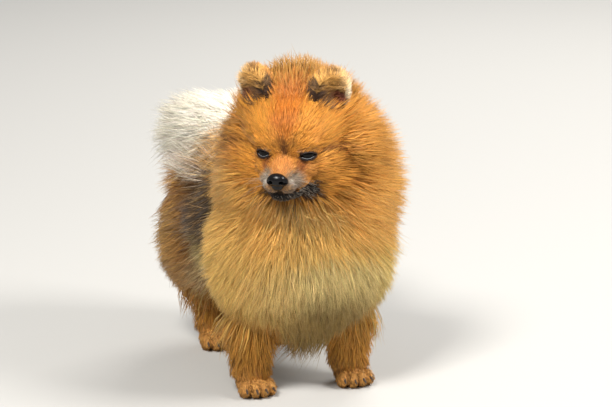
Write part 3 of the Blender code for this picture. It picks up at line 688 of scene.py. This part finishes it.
def face_colour(at):
    """Orange, with a red forehead, dark eye streaks, grey pads and black lips."""
    x, y, z = at.T
    marks = [
        (CHEEK_LEFT, 0.8 * smooth(0.020, 0.045, x) * smooth(0.025, -0.010, z)),
        (FOREHEAD_RED, 0.80 * blob(at, (0.0, -0.025, 0.046), (0.013, 0.045, 0.030))),
        (CROWN_BROWN, smooth(0.054, 0.080, z)),
        (BRIDGE_TAN, 0.85 * blob(at, (0.0, -0.050, -0.003), (0.011, 0.016, 0.010))),
        (MUZZLE_BROWN, 0.55 * blob(at, (0.021, -0.034, -0.013), (0.011, 0.014, 0.009))),
        (CROWN_RED, 0.80 * blob(at, (0.0, -0.004, 0.060), (0.022, 0.026, 0.013))),
    ]
    mirror = at * v(-1, 1, 1)
    for side, _ in SIDES:
        for colour, left, right, mask, *takes in FACE_PAIRS:
            share, here = (left, at) if side > 0 else (right, mirror)
            marks.append((colour, share * mask(here, *takes)))
    front = smooth(-0.040, -0.048, y) * smooth(-0.0190, -0.0245, z)
    marks.append((LIP_GREY, 0.85 * front))
    for centre, radii, share in STOP_MARKS:
        marks.append((STOP_BROWN, share * blob(at, centre, radii, 0.6)))
    lip = smooth(0.0010, -0.0014, z - np.interp(y, *LIP_LINE)) * smooth(-0.016, -0.022, y)
    lip = lip * smooth(0.031, 0.027, x) * smooth(-0.022, -0.018, x)
    marks.append((BLACK, lip * smooth(-0.0430, -0.0385, z)))
    return painted(FACE_ORANGE, marks)


def coat_colour(points):
    """The markings of the whole dog apart from its ears, by place."""
    head, ruff, tail, legs = [weight[:, None] for weight in region_weights(points)]
    noise = wavy(points, 0.035, 3)
    fine = wavy(points, 0.012, 4)
    rest = np.clip(1 - head - ruff - tail, 0, 1)
    found = (
        head * face_colour(to_local(points, HEAD))
        + ruff * ruff_colour(points, noise)
        + tail * tail_colour(points, noise)
        + rest * trunk_colour(points, noise, fine)
    )
    return blend(found, leg_colour(points), legs)


def ear_colour(points, side):
    """A pale top and rim, painted shade in the hollow and the cup, a dark inner edge and an orange
    back.
    """
    at = to_local(points, ear_frame(side))
    x, y, z = (at * v(side, 1, 1)).T
    streaks = wavy(points, 0.007, 12)
    inner = 0.0020 * smooth(0.026, 0.004, z) - 0.0030 * streaks
    top = smooth(-0.002, 0.010, x + 0.003 * streaks) * smooth(0.014, 0.022, z)
    cup = blob(at, (side * 0.006, -0.004, 0.010), (0.008, 0.012, 0.006))
    rim = smooth(0.0125, 0.0150, x + 0.001 * streaks) * smooth(-0.002, 0.004, z)
    crest = smooth(0.0305, 0.0335, z + 0.001 * streaks) * smooth(0.010, 0.0, x)
    return painted(EAR_TAN, [
        (EAR_TOP, 0.70 * top),
        # painted shade of the ear's hollow: dark streaks over the lower part of the ear
        (EAR_LOW_SHADE, 0.90 * smooth(0.0200, 0.0130, z + 0.004 * streaks)),
        # painted shade in the ear's cup, dark and reddish, stronger on the left ear
        (EAR_CUP_SHADE, (0.80 if side > 0 else 0.30) * cup),
        (EAR_RIM, 0.80 * rim),
        (EAR_INNER, 0.86 * smooth(-0.0122, -0.0148, x - inner)),
        (EAR_CREST, 0.65 * crest),
        (EAR_BACK, 0.9 * smooth(0.0015, 0.004, y)),
    ])


def skin_colours(points):
    """The coat's markings, darker, with the ears' and dark lids."""
    found = coat_colour(points) * 0.62
    for side, _ in SIDES:
        at = to_local(points, ear_frame(side))
        on_ear = blob(at, EAR_FORM[0], tuple(r + 0.001 for r in EAR_FORM[1]), 0.06)
        found = painted(found, [
            (ear_colour(points, side) * 0.8, on_ear),
            (LID_SKIN, 0.95 * smooth(0.0112, 0.0090, from_eye(points, side, (1.0, 0.5, 1.7)))),
        ])
    return found


# Where the coat grows


def arrays_of(target):
    """The points, the normals and the triangles of a mesh."""
    mesh = target.data
    mesh.calc_loop_triangles()
    points = np.empty(len(mesh.vertices) * 3)
    mesh.vertices.foreach_get("co", points)
    normals = np.empty(len(mesh.vertices) * 3)
    mesh.vertices.foreach_get("normal", normals)
    faces = np.empty(len(mesh.loop_triangles) * 3, dtype=np.int32)
    mesh.loop_triangles.foreach_get("vertices", faces)
    return points.reshape(-1, 3), normals.reshape(-1, 3), faces.reshape(-1, 3)


def roots_on(surface, count, density, rng):
    """Points spread over a surface by area and density, with the surface's smooth normals."""
    points, normals, faces = surface
    corners = points[faces]
    cross = np.cross(corners[:, 1] - corners[:, 0], corners[:, 2] - corners[:, 0])
    area = np.linalg.norm(cross, axis=1) / 2
    weight = area * density(corners.mean(axis=1))
    chosen = rng.choice(len(faces), size=count, p=weight / weight.sum())
    a, b = rng.random(count), rng.random(count)
    flip = a + b > 1
    a[flip], b[flip] = 1 - a[flip], 1 - b[flip]
    mix = np.stack([1 - a - b, a, b], axis=1)[:, :, None]
    return (points[faces[chosen]] * mix).sum(1), unit((normals[faces[chosen]] * mix).sum(1))


def zone_of(points):
    """The coat piece that each place belongs to."""
    head, ruff, tail, legs = region_weights(points)
    x, y, _ = points.T
    at = to_local(points, HEAD)
    names = np.full(len(points), "flanks", dtype="U12")
    names[y < -0.035] = "chest"
    names[y > 0.075] = "rump"
    names[tail > 0.5] = "tail"
    names[(ruff > 0.5) & (x < 0.0)] = "ruff_right"
    names[(ruff > 0.5) & (x >= 0.0)] = "ruff_left"
    names[head > 0.5] = "crown"
    names[(head > 0.5) & (at[:, 1] < 0.008) & (at[:, 2] < 0.046)] = "face"
    names[legs > 0.5] = "legs"
    return names


def keep_off(points):
    """0 where no hair of the skin grows: the eyes, the lids' edges, the nose and the ears."""
    found = np.ones(len(points))
    for side, _ in SIDES:
        found *= smooth(0.0084, 0.0104, from_eye(points, side, (1.0, 0.4, 1.9)))
    at = to_local(points, HEAD)
    for form in NOSE_FORMS:
        found *= off_form(at, form, (0.001, 0.0015, 0.001)) > 1
    for side, _ in SIDES:
        found *= off_form(to_local(points, ear_frame(side)), EAR_FORM, (0.0008,) * 3) > 1
    return found


def density_of(points, zone, rng):
    """How thick the coat grows, with the borders between zones mixed."""
    mine = zone_of(points + rng.normal(0, 0.0035, points.shape)) == zone
    thick = 1 + 2.0 * smooth(0.030, 0.018, points[:, 2])
    return mine * (keep_off(points) * thick + 1e-9)


# The tufts

# Two three-sided sections, (across, up) from the middle of each, and a tip
STATIONS = np.linspace(0, 1, 3)
SECTION = [(-0.5, -0.16), (0.5, -0.16), (0.0, 0.34)]
THICKNESS = (1.0, 0.92)
TUFT_FACES = np.array([
    (0, 2, 1), (0, 1, 4), (0, 4, 3), (1, 2, 5), (1, 5, 4),
    (2, 0, 3), (2, 3, 5), (3, 4, 6), (4, 5, 6), (5, 3, 6),
])
TUFT_POINTS = 7
# How far each point of a tuft is on the way from the root's colour to the tip's
TUFT_FADE = v(0.0, 0.0, 0.0, 0.6, 0.6, 0.6, 1.0)
# painted shade deep in the coat: how dark a tuft is at its root
PAINTED_ROOT_SHADE = 0.64
BAKE_PATCH = 0.003
LOCK_REACH = 0.030
FLOOR_CLEAR = 0.0010


def set_colours(mesh, colours):
    layer = mesh.color_attributes.new("coat", "FLOAT_COLOR", "POINT")
    full = np.ones((len(colours), 4), dtype=np.float32)
    full[:, :3] = colours
    layer.data.foreach_set("color", full.reshape(-1))


def lifted_paths(roots, normals, way, longest, first=16, last=74):
    """Each tuft rises just enough from its lie for its length to end at the coat's outline."""
    lift = np.full(len(roots), float(last))
    span = np.full(len(roots), -1.0)
    for step in range(first, last + 1, 8):
        angle = math.radians(step)
        far = reach(roots, way * math.cos(angle) + normals * math.sin(angle), COATS)
        fits = (span < 0) & (far <= longest)
        lift[fits] = step
        span[fits] = far[fits]
    return np.radians(lift), np.where(span < 0, longest, span)


def into_locks(path, spacing, pull, rng):
    """The paths with the tips of neighbours drawn together."""
    count = len(path)
    leaders = rng.choice(count, size=max(4, int(count / spacing)), replace=False)
    tips = path[:, -1]
    tree = KDTree(len(leaders))
    for i, k in enumerate(leaders):
        tree.insert(Vector(tips[k]), i)
    tree.balance()
    nearest = np.array([leaders[tree.find(Vector(p))[1]] for p in tips])
    strength = pull * rng.uniform(0.5, 1.0, count)
    gap = path[nearest] - path
    far = np.linalg.norm(gap[:, -1], axis=1)
    strength = strength * np.clip(LOCK_REACH / np.maximum(far, LOCK_REACH), 0, 1)
    return path + gap * (STATIONS[None, :, None] ** 1.6) * strength[:, None, None]


def tuft_mesh(name, roots, normals, way, lift, span, width, colours, tips, uv, rng, curl, lock):
    """Closed, tapered three-sided tufts that rise from the skin and bend back along the lie."""
    count = len(roots)
    lift0 = lift + rng.normal(0.10, 0.15, count)
    lift1 = lift - 0.14 + rng.normal(0, 0.14, count)
    side = np.cross(normals, way)
    sway = rng.normal(0, curl, count)
    start = unit(risen(way, normals, lift0) + side * (0.4 * sway)[:, None])
    end = unit(risen(way, normals, lift1) + side * sway[:, None])
    steps = [start * (t - 0.5 * t * t) + end * (0.5 * t * t) for t in STATIONS]
    path = np.stack([roots + span[:, None] * step for step in steps], axis=1)
    wave = np.sin(STATIONS * 5.0)[None, :, None]
    wave = wave * (rng.normal(0, 0.045, count) * span)[:, None, None]
    path = into_locks(path + wave * side[:, None, :], *lock, rng)
    path[:, :, 2] = np.maximum(path[:, :, 2], FLOOR_CLEAR)
    along = unit(path[:, -1] - path[:, 0])
    across = unit(np.cross(normals, along) + rng.normal(0, 0.35, (count, 3)))
    up = unit(np.cross(along, across))
    rows = []
    for k, thick in enumerate(THICKNESS):
        for cx, cy in SECTION:
            offset = across * (cx * width * thick)[:, None] + up * (cy * width * thick)[:, None]
            rows.append(path[:, k] + offset)
    block = np.stack([*rows, path[:, -1]], axis=1)
    shift = (np.arange(count) * TUFT_POINTS)[:, None, None]
    faces = (TUFT_FACES[None] + shift).reshape(-1, 3)
    mesh = bpy.data.meshes.new(name)
    mesh.vertices.add(count * TUFT_POINTS)
    mesh.vertices.foreach_set("co", block.reshape(-1).astype(np.float32))
    mesh.loops.add(len(faces) * 3)
    mesh.loops.foreach_set("vertex_index", faces.reshape(-1).astype(np.int32))
    mesh.polygons.add(len(faces))
    mesh.polygons.foreach_set("loop_start", np.arange(0, len(faces) * 3, 3, dtype=np.int32))
    mesh.update(calc_edges=True)
    mesh.polygons.foreach_set("use_smooth", np.ones(len(faces), dtype=bool))
    # painted shade: darker at the root, its own colour at the middle, the tip's at the end
    shade = PAINTED_ROOT_SHADE + (1 - PAINTED_ROOT_SHADE) * np.minimum(TUFT_FADE * 2.0, 1.0)
    to_tip = np.clip((TUFT_FADE - 0.35) / 0.65, 0, 1)[None, :, None]
    tint = blend(colours[:, None, :], tips[:, None, :], to_tip)
    set_colours(mesh, (tint * shade[None, :, None]).reshape(-1, 3))
    # each tuft is one small patch of the bake map
    local = [(0.5 + cx * 0.8, 0.1 + 0.4 * k) for k in range(2) for cx, _ in SECTION]
    spots = uv[:, None, :] + (np.array([*local, (0.5, 0.95)])[None] - 0.5) * BAKE_PATCH
    layer = mesh.uv_layers.new(name="OFBake")
    spots = spots.reshape(-1, 2)[faces.reshape(-1)]
    layer.data.foreach_set("uv", spots.reshape(-1).astype(np.float32))
    # light falls on the coat as on a soft body: each normal leans to the skin's
    outward = unit(normals + 0.35 * along)[:, None, :]
    outward = np.repeat(outward, TUFT_POINTS, axis=1).reshape(-1, 3)
    own = np.empty(count * TUFT_POINTS * 3)
    mesh.vertices.foreach_get("normal", own)
    leaning = unit(own.reshape(-1, 3) * 0.45 + outward * 0.75)
    mesh.normals_split_custom_set_from_vertices(leaning.astype(np.float32))
    return new_object(name, mesh)


def sphere_unwrap(points, centre, tile=(0.0, 0.0, 1.0, 1.0)):
    """Longitude and latitude about a part's own centre, spread over one tile of the map."""
    off = points - v(*centre)
    far = np.maximum(np.linalg.norm(off, axis=1), 1e-9)
    lon = np.arctan2(off[:, 0], -off[:, 1]) / (2 * math.pi) + 0.5
    lat = np.arcsin(np.clip(off[:, 2] / far, -1, 1)) / math.pi + 0.5
    out = []
    for value, low, size in ((lon, tile[0], tile[2]), (lat, tile[1], tile[3])):
        a, b = value.min(), value.max()
        out.append(low + size * (0.01 + 0.98 * (value - a) / max(b - a, 1e-6)))
    return np.stack(out, axis=1)


def legs_unwrap(roots):
    """Each leg about its own middle, on its own quarter of the map."""
    uv = np.zeros((len(roots), 2))
    places = [(side * x, y) for x, y, _, _ in LEG_PAIRS for side, _ in SIDES]
    for k, (x, y) in enumerate(places):
        mine = (np.sign(roots[:, 0]) == np.sign(x)) & ((roots[:, 1] < 0.04) == (y < 0.04))
        tile = ((k % 2) * 0.5, (k // 2) * 0.5, 0.5, 0.5)
        uv[mine] = sphere_unwrap(roots[mine], (x, y, 0.045), tile)
    return uv


# Materials


def set_inputs(node, values):
    for key, value in values.items():
        node.inputs[key].default_value = value


def noise_bump(nodes, links, shader, scale, strength, distance):
    where = nodes.new("ShaderNodeTexCoord")
    noise = nodes.new("ShaderNodeTexNoise")
    set_inputs(noise, {"Scale": scale, "Detail": 5.0})
    links.new(where.outputs["Object"], noise.inputs["Vector"])
    bump = nodes.new("ShaderNodeBump")
    set_inputs(bump, {"Strength": strength, "Distance": distance})
    links.new(noise.outputs["Fac"], bump.inputs["Height"])
    links.new(bump.outputs["Normal"], shader.inputs["Normal"])
    return noise


def material(name, settings, scale, strength, distance):
    """A material with its shader's settings and a bump of noise."""
    made = bpy.data.materials.new(name)
    made.use_nodes = True
    nodes, links = made.node_tree.nodes, made.node_tree.links
    shader = nodes["Principled BSDF"]
    set_inputs(shader, settings)
    return made, nodes, links, shader, noise_bump(nodes, links, shader, scale, strength, distance)


def coat_material(name, roughness, scale, strength):
    """The markings of the attribute coat, made lighter and darker by noise."""
    settings = {
        "Roughness": roughness,
        "Specular IOR Level": 0.25,
        "Sheen Weight": 0.04,
        "Sheen Roughness": 0.4,
    }
    made, nodes, links, shader, noise = material(name, settings, scale, strength, 0.0004)
    paint = nodes.new("ShaderNodeAttribute")
    paint.attribute_name = "coat"
    vary = nodes.new("ShaderNodeMapRange")
    set_inputs(vary, {"From Min": 0.3, "From Max": 0.7, "To Min": 0.82, "To Max": 1.15})
    links.new(noise.outputs["Fac"], vary.inputs["Value"])
    tone = nodes.new("ShaderNodeVectorMath")
    tone.operation = "SCALE"
    links.new(paint.outputs["Color"], tone.inputs["Vector"])
    links.new(vary.outputs["Result"], tone.inputs["Scale"])
    links.new(tone.outputs["Vector"], shader.inputs["Base Color"])
    return made


def plain_material(name, colour, roughness, scale, strength, bump=0.0003, coat=0.0, specular=0.5):
    settings = {
        "Base Color": (*colour, 1),
        "Roughness": roughness,
        "Specular IOR Level": specular,
        "Coat Weight": coat,
        "Coat Roughness": 0.08,
    }
    return material(name, settings, scale, strength, bump)[0]


FUR = coat_material("fur", 0.55, 900.0, 0.10)
SKIN = coat_material("skin_under_coat", 0.70, 900.0, 0.5)
NOSE_SKIN = plain_material(
    "nose_leather", (0.0045, 0.004, 0.0045), 0.27, 1400.0, 0.40, coat=0.05, specular=0.22
)
RIM_SKIN = plain_material("eye_rim_skin", (0.016, 0.009, 0.007), 0.35, 1500.0, 0.30, specular=0.3)
EYE_WET = plain_material("eye_cornea", (0.003, 0.002, 0.0015), 0.09, 300.0, 0.02, specular=0.14)
CLAW_HORN = plain_material("claw_horn", (0.060, 0.042, 0.032), 0.35, 900.0, 0.35, coat=0.2)
# a light grey tube along each lower lid: painted highlight of the wet edge
WET_EDGE_HIGHLIGHT = plain_material("eye_wet_edge_highlight", (0.33, 0.34, 0.36), 0.15, 900.0, 0.1)
WHISKER = plain_material("whisker", (0.30, 0.24, 0.18), 0.40, 900.0, 0.1)
FLOOR = plain_material("studio_floor", (0.47, 0.465, 0.45), 0.75, 60.0, 0.05, bump=0.001)


# The coat's pieces

# count, width of a tuft, curl, (tufts to a lock, pull), raggedness, cream in the tips, which is
# partly painted glow of light through them, centre of the unwrap, nodes replaced, slot
HEAD_AT, RUFF_AT = tuple(HEAD_CENTRE), (0.013, -0.045, 0.200)
LEGS = ("foreleg_left", "foreleg_right", "hindleg_left", "hindleg_right")
RUFF_ZONE = (18500, 0.00060, 0.16, (28, 0.40), 0.14, 0.26, RUFF_AT, ("neck",), "orange_coat")
ZONES = {
    "face": (14000, 0.00060, 0.10, (12, 0.28), 0.10, 0.05, HEAD_AT, ("head", "lower_jaw"),
             "orange_coat"),
    "crown": (17000, 0.00058, 0.16, (18, 0.40), 0.22, 0.16, HEAD_AT, ("head",), "orange_coat"),
    "ruff_left": RUFF_ZONE,
    "ruff_right": RUFF_ZONE,
    "chest": (19000, 0.00060, 0.18, (30, 0.45), 0.14, 0.26, COATS[0][0], ("torso",), "body_coat"),
    "flanks": (12500, 0.00072, 0.16, (28, 0.50), 0.14, 0.14, COATS[1][0], ("torso",), "body_coat"),
    "rump": (15000, 0.00072, 0.16, (28, 0.42), 0.14, 0.12, (0.0, 0.115, 0.120), ("torso",),
             "body_coat"),
    "tail": (17000, 0.00060, 0.24, (34, 0.50), 0.34, 0.25, (-0.002, 0.100, 0.205), ("tail",),
             "white_coat"),
    "legs": (14000, 0.00070, 0.12, (14, 0.40), 0.12, 0.10, None, LEGS, "leg_coat"),
}
SHORT_ZONES, UPPER_ZONES = ("face", "legs"), ("crown", "ruff_left", "ruff_right")
EAR_COUNT, EAR_WIDTH, EAR_CURL, EAR_LOCK = 4800, 0.00058, 0.16, (10, 0.35)
THIN = 1.0
SHORTEST = 0.010
INNER_SHARE, WISP_SHARE, DARK_SHARE, GREYED_SHARE, STRAND_SHARE = 0.22, 0.12, 0.04, 0.22, 0.18
HANGING_SHARE, HANGING_LIFT = 0.40, math.radians(30)


def crown_room(at):
    """How far a hair between the ears may rise."""
    top = 0.0745 - 0.20 * (at[:, 1] - 0.010) + 0.020 * smooth(0.028, 0.048, np.abs(at[:, 0]))
    return np.maximum(top - at[:, 2], 0.006)


def hair_paths(zone, ragged, roots, normals, way, rng):
    """How far each tuft rises from its lie, and its length."""
    count = len(roots)
    at = to_local(roots, HEAD)
    longest = length_of(roots) * rng.uniform(1.0 - ragged, 1.08, count)
    inner = rng.random(count) < INNER_SHARE
    longest[inner] *= rng.uniform(0.45, 0.85, inner.sum())
    wisps = rng.random(count) < WISP_SHARE
    if zone in SHORT_ZONES:
        return np.radians(rng.uniform(14, 30, count)), longest
    between = np.zeros(count)
    if zone in UPPER_ZONES:
        low, high, cut = (0.034, 0.050, 0.72) if zone == "crown" else (0.000, 0.030, 0.50)
        between = smooth(0.044, 0.028, np.abs(at[:, 0])) * smooth(low, high, at[:, 2]) * ~wisps
        longest = longest * (1 - cut * between)
    lift, span = lifted_paths(roots, normals, way, longest)
    span = np.minimum(span * rng.uniform(0.98 - ragged, 1.03, count), longest * 1.1)
    span = np.maximum(span, np.minimum(longest, SHORTEST) * rng.uniform(0.7, 1.2, count))
    lift = lift * (1 - 0.45 * between)
    if zone in UPPER_ZONES:
        rise = risen(way, normals, lift) @ HEAD_UP
        room = crown_room(at)
        capped = (span * rise > room) & ~wisps
        highest = (room / np.maximum(rise, 1e-3))[capped]
        span[capped] = highest * rng.uniform(0.85, 1.05, capped.sum())
    if zone == "chest":
        hanging = smooth(0.092, 0.066, roots[:, 2]) * (rng.random(count) < HANGING_SHARE)
        span = span * (1 + 0.45 * hanging * rng.random(count))
        lift = lift + HANGING_LIFT * hanging
    stray = rng.random(count) < (0.12 if zone == "tail" else 0.06)
    span[stray] *= rng.uniform(1.03, 1.14, stray.sum())
    return lift, span


def hair_colours(zone, cream, roots, middle, rng):
    """The colour of each tuft and of its tip."""
    count = len(roots)
    mixing, spread, broad = (0.0012, 0.09, 0) if zone == "face" else (0.0045, 0.13, 0.10)
    sample = roots if zone in SHORT_ZONES else middle
    colours = coat_colour(sample + rng.normal(0, mixing, (count, 3)))
    patches = 0.09 * wavy(middle, 0.010, 21) + broad * wavy(middle, 0.032, 22)
    tone = np.exp(rng.normal(0, spread, count) + patches)[:, None]
    warm = 1 + rng.normal(0, 0.04, (count, 3))
    dark = (rng.random(count) < DARK_SHARE)[:, None]
    colours = colours * tone * warm * np.where(dark, 0.6, 1.0)
    if zone == "face":
        on_lips = (colours.mean(1) < 0.10) & (to_local(roots, HEAD)[:, 2] < -0.022)
        greyed = on_lips & (rng.random(count) < GREYED_SHARE)
        colours[greyed] = GREYED_HAIR * rng.uniform(0.5, 1.3, (greyed.sum(), 1))
    if zone in ("flanks", "rump"):
        pale = (colours.mean(1) < 0.09) & (rng.random(count) < STRAND_SHARE)
        colours[pale] = SADDLE_STRAND * rng.uniform(0.6, 1.2, (pale.sum(), 1))
    share = cream * smooth(0.04, 0.26, colours.mean(1)) * rng.uniform(0.3, 1.5, count)
    # lighter, creamier tips: partly the coat's pale tips, partly painted glow of light through them
    return colours, blend(colours * 1.10, CREAM, share[:, None])


def grown_zone(zone, surface, rng):
    """One piece of the coat of the skin."""
    count, width, curl, lock, ragged, cream, centre, _, _ = ZONES[zone]
    roots, normals = roots_on(
        surface, int(count * THIN), lambda points: density_of(points, zone, rng), rng
    )
    keep = keep_off(roots) > 0.3
    roots, normals = roots[keep], normals[keep]
    way = lie_of(roots, normals)
    lift, span = hair_paths(zone, ragged, roots, normals, way, rng)
    middle = roots + span[:, None] * 0.7 * risen(way, normals, lift)
    colours, tips = hair_colours(zone, cream, roots, middle, rng)
    size = width / math.sqrt(THIN) * rng.uniform(0.7, 1.3, len(roots))
    size = size * np.clip(0.65 + span / 0.05, 0.65, 1.25)
    uv = legs_unwrap(roots) if zone == "legs" else sphere_unwrap(roots, centre)
    return tuft_mesh(
        f"coat_{zone}", roots, normals, way, lift, span, size, colours, tips, uv, rng, curl, lock
    )


def grown_ear(side, name, surface, rng):
    """The short coat of one ear, with longer hair in its hollow."""
    place = ear_frame(side)
    roots, normals = roots_on(
        surface, int(EAR_COUNT * THIN), lambda points: np.ones(len(points)), rng
    )
    count = len(roots)
    at = to_local(roots, place)
    x, y, z = at.T
    none = np.zeros(count)
    hollow = off_form(at, EAR_HOLLOW) < 1.04
    deep = hollow & (side * x > -0.001) & (z < 0.018)
    outward = np.stack([1.3 * x, none, 0.010 + (z - 0.012)], axis=1)
    inward = np.stack([side * 0.008 - 0.3 * x, none - 0.010, none + 0.010], axis=1)
    way = turned(np.where(hollow[:, None], unit(inward), unit(outward)), place)
    way = unit(way - normals * (way * normals).sum(1)[:, None])
    span = (0.0058 + 0.0020 * smooth(0.010, 0.030, z)) * rng.uniform(0.6, 1.25, count)
    span[hollow] = rng.uniform(0.0060, 0.0120, hollow.sum())
    span[deep] = rng.uniform(0.0030, 0.0070, deep.sum())
    lift = np.radians(rng.uniform(20, 50, count))
    lift[hollow] += math.radians(6)
    colours = ear_colour(roots, side) * np.exp(rng.normal(0, 0.26, count))[:, None]
    # lighter tips: painted glow of light through the ends of the hair
    tips = colours * 1.15 + 0.02
    size = EAR_WIDTH / math.sqrt(THIN) * rng.uniform(0.7, 1.3, count)
    uv = sphere_unwrap(roots, tuple(place @ Vector(EAR_FORM[0])))
    label = f"coat_ear_{name}"
    return tuft_mesh(
        label, roots, normals, way, lift, span, size, colours, tips, uv, rng, EAR_CURL, EAR_LOCK
    )


# Skin

FLESH = ("head", "lower_jaw", "neck", "torso", "tail", "ear_left", "ear_right", *LEGS)

head_skin, ear_skins, trunk_skin = build_skin()
jaw_skin = blended([egg(form, HEAD) for form in JAW_FORMS], voxel=0.0010, rounds=5)
ear_surfaces = [arrays_of(ear) for ear in ear_skins]
body_skin = combined(head_skin, [trunk_skin, jaw_skin, *ear_skins], "UNION")
body_surface = arrays_of(body_skin)
set_colours(body_skin.data, skin_colours(body_surface[0]))
# each piece with the nodes that it replaces and its slot
pieces = [(finished(body_skin, "skin", SKIN), FLESH, "orange_coat")]

# Coat

for index, (zone, (*_, nodes_of, slot)) in enumerate(ZONES.items()):
    piece = grown_zone(zone, body_surface, np.random.default_rng(100 + index))
    piece.data.materials.append(FUR)
    pieces.append((piece, nodes_of, slot))
for (side, name), ear_surface in zip(SIDES, ear_surfaces):
    piece = grown_ear(side, name, ear_surface, np.random.default_rng(300 + side))
    piece.data.materials.append(FUR)
    pieces.append((piece, (f"ear_{name}",), "orange_coat"))

# Eyes, their rims, and light tubes along the wet lower edges as painted highlights


def on_ball(x, z, radius):
    """The place on the front of the eyeball at (x, z)."""
    return Vector((x, -math.sqrt(radius**2 - x**2 - z**2), z))


def rim_points():
    return [on_ball(x, z, EYE_RADIUS + RIM_PROUD) for x, z in almond(*EYE_RIM)]


def wet_points(half_steps=6):
    """The line of the lower lid's edge, where a light tube is a painted highlight."""
    found = []
    for i in range(2 * half_steps + 1):
        x = WET_HALF_WIDTH * (i / half_steps - 1)
        z = WET_HEIGHT + WET_BOW * (x / WET_HALF_WIDTH) ** 2
        found.append(on_ball(x, z, EYE_RADIUS + WET_PROUD))
    return found


for side, name in SIDES:
    place = tilted_eye_frame(side)
    ball = egg(ball_form(EYE_RADIUS), eye_frame(side))
    rim = tube([place @ p for p in rim_points()], RIM_RADIUS, closed=True)
    line = tube([place @ p for p in wet_points()], WET_RADIUS, sides=6)
    pieces += [
        (finished(ball, f"eyeball_{name}", EYE_WET), (f"eye_{name}",), "eye"),
        (finished(rim, f"eye_rim_{name}", RIM_SKIN), ("head",), "black_skin"),
        (finished(line, f"eye_wet_{name}", WET_EDGE_HIGHLIGHT), (f"eye_{name}",), "eye"),
    ]

# Nose

nose = blended([egg(form, HEAD) for form in NOSE_FORMS], voxel=0.0005, rounds=6)
for hole, slit in zip(mirrored(NOSTRIL_HOLE), mirrored(NOSTRIL_SLIT)):
    nose = combined(nose, [egg(form, HEAD, detail=4) for form in (hole, slit)], "DIFFERENCE")
pieces.append((finished(nose, "nose_pad", NOSE_SKIN), ("nose",), "black_skin"))

# Whiskers

WHISKERS_A_SIDE, WHISKER_RADIUS, WHISKER_STEPS = 11, 0.00016, 6

hairs = []
rng = np.random.default_rng(77)
for side, _ in SIDES:
    for _ in range(WHISKERS_A_SIDE):
        across = side * rng.uniform(0.009, 0.015)
        start = Vector((across, rng.uniform(-0.058, -0.044), rng.uniform(-0.022, -0.013)))
        out = Vector((side * 1.0, rng.uniform(-0.25, 0.35), rng.uniform(-0.40, 0.10)))
        long = rng.uniform(0.015, 0.030)
        bend = Vector((0, rng.uniform(0.1, 0.4), rng.uniform(-0.5, -0.1)))
        steps = [i / WHISKER_STEPS for i in range(WHISKER_STEPS + 1)]
        line = [HEAD @ (start + (out * t + bend * t * t) * long) for t in steps]
        hairs.append(tube(line, WHISKER_RADIUS, sides=4, taper=True))
whiskers = joined(hairs)
whiskers.name = "whiskers"
whiskers.data.materials.append(WHISKER)
pieces.append((whiskers, ("head",), "black_skin"))

# Claws keep their CAD meshes

for node_name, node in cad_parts.items():
    if node_name.startswith("claw_"):
        node.data.materials.clear()
        node.data.materials.append(CLAW_HORN)

# Every piece moves onto the CAD's frame and takes its nodes' place

for piece, nodes_of, slot in pieces:
    piece.data.transform(Matrix.Translation(SHIFT))
    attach(piece, "root")
    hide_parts(*nodes_of)

# Stage, light and camera

FLOOR_RADIUS = 12.0
# name, place, height of what it aims at, size, power, colour
LAMPS = [
    ("key", (-1.45, -1.50, 2.55), 0.18, 0.8, 128, (1.0, 0.97, 0.92)),
    ("second", (1.5, -1.2, 1.8), 0.18, 0.9, 58, (1.0, 0.97, 0.93)),
    ("back", (1.3, 1.5, 1.7), 0.20, 1.2, 40, (1.0, 0.97, 0.92)),
]
WORLD_COLOUR, WORLD_STRENGTH = (0.90, 0.92, 0.95, 1), 0.34
AZIMUTH, ELEVATION, DISTANCE, LENS = math.radians(-20.0), math.radians(14.0), 3.0, 183.0
AIM_RIGHT, AIM_UP = 0.0236, 0.1610

floor_mesh = bmesh.new()
bmesh.ops.create_circle(floor_mesh, cap_ends=True, segments=64, radius=FLOOR_RADIUS)
floor = object_of("floor", floor_mesh)
floor.data.materials.append(FLOOR)

for name, place, aim_height, size, power, colour in LAMPS:
    lamp_data = bpy.data.lights.new(name, "AREA")
    lamp_data.size = size
    lamp_data.energy = power
    lamp_data.color = colour
    lamp = new_object(name, lamp_data)
    lamp.location = place
    toward = Vector((0, 0, aim_height)) - Vector(place)
    lamp.rotation_euler = toward.to_track_quat("-Z", "Y").to_euler()
world = bpy.data.worlds.new("studio")
world.use_nodes = True
background = world.node_tree.nodes["Background"]
set_inputs(background, {"Color": WORLD_COLOUR, "Strength": WORLD_STRENGTH})
bpy.context.scene.world = world

right = Vector((math.cos(AZIMUTH), math.sin(AZIMUTH), 0))
back = Vector((
    math.sin(AZIMUTH) * math.cos(ELEVATION),
    -math.cos(AZIMUTH) * math.cos(ELEVATION),
    math.sin(ELEVATION),
))
up = back.cross(right)
camera_data = bpy.data.cameras.new("camera")
camera_data.lens = LENS
camera_data.sensor_width = 36.0
camera = new_object("camera", camera_data)
camera.location = right * AIM_RIGHT + up * AIM_UP + SHIFT + back * DISTANCE
camera.rotation_euler = back.to_track_quat("Z", "Y").to_euler()
bpy.context.scene.camera = camera
bpy.context.scene.view_settings.view_transform = "Standard"
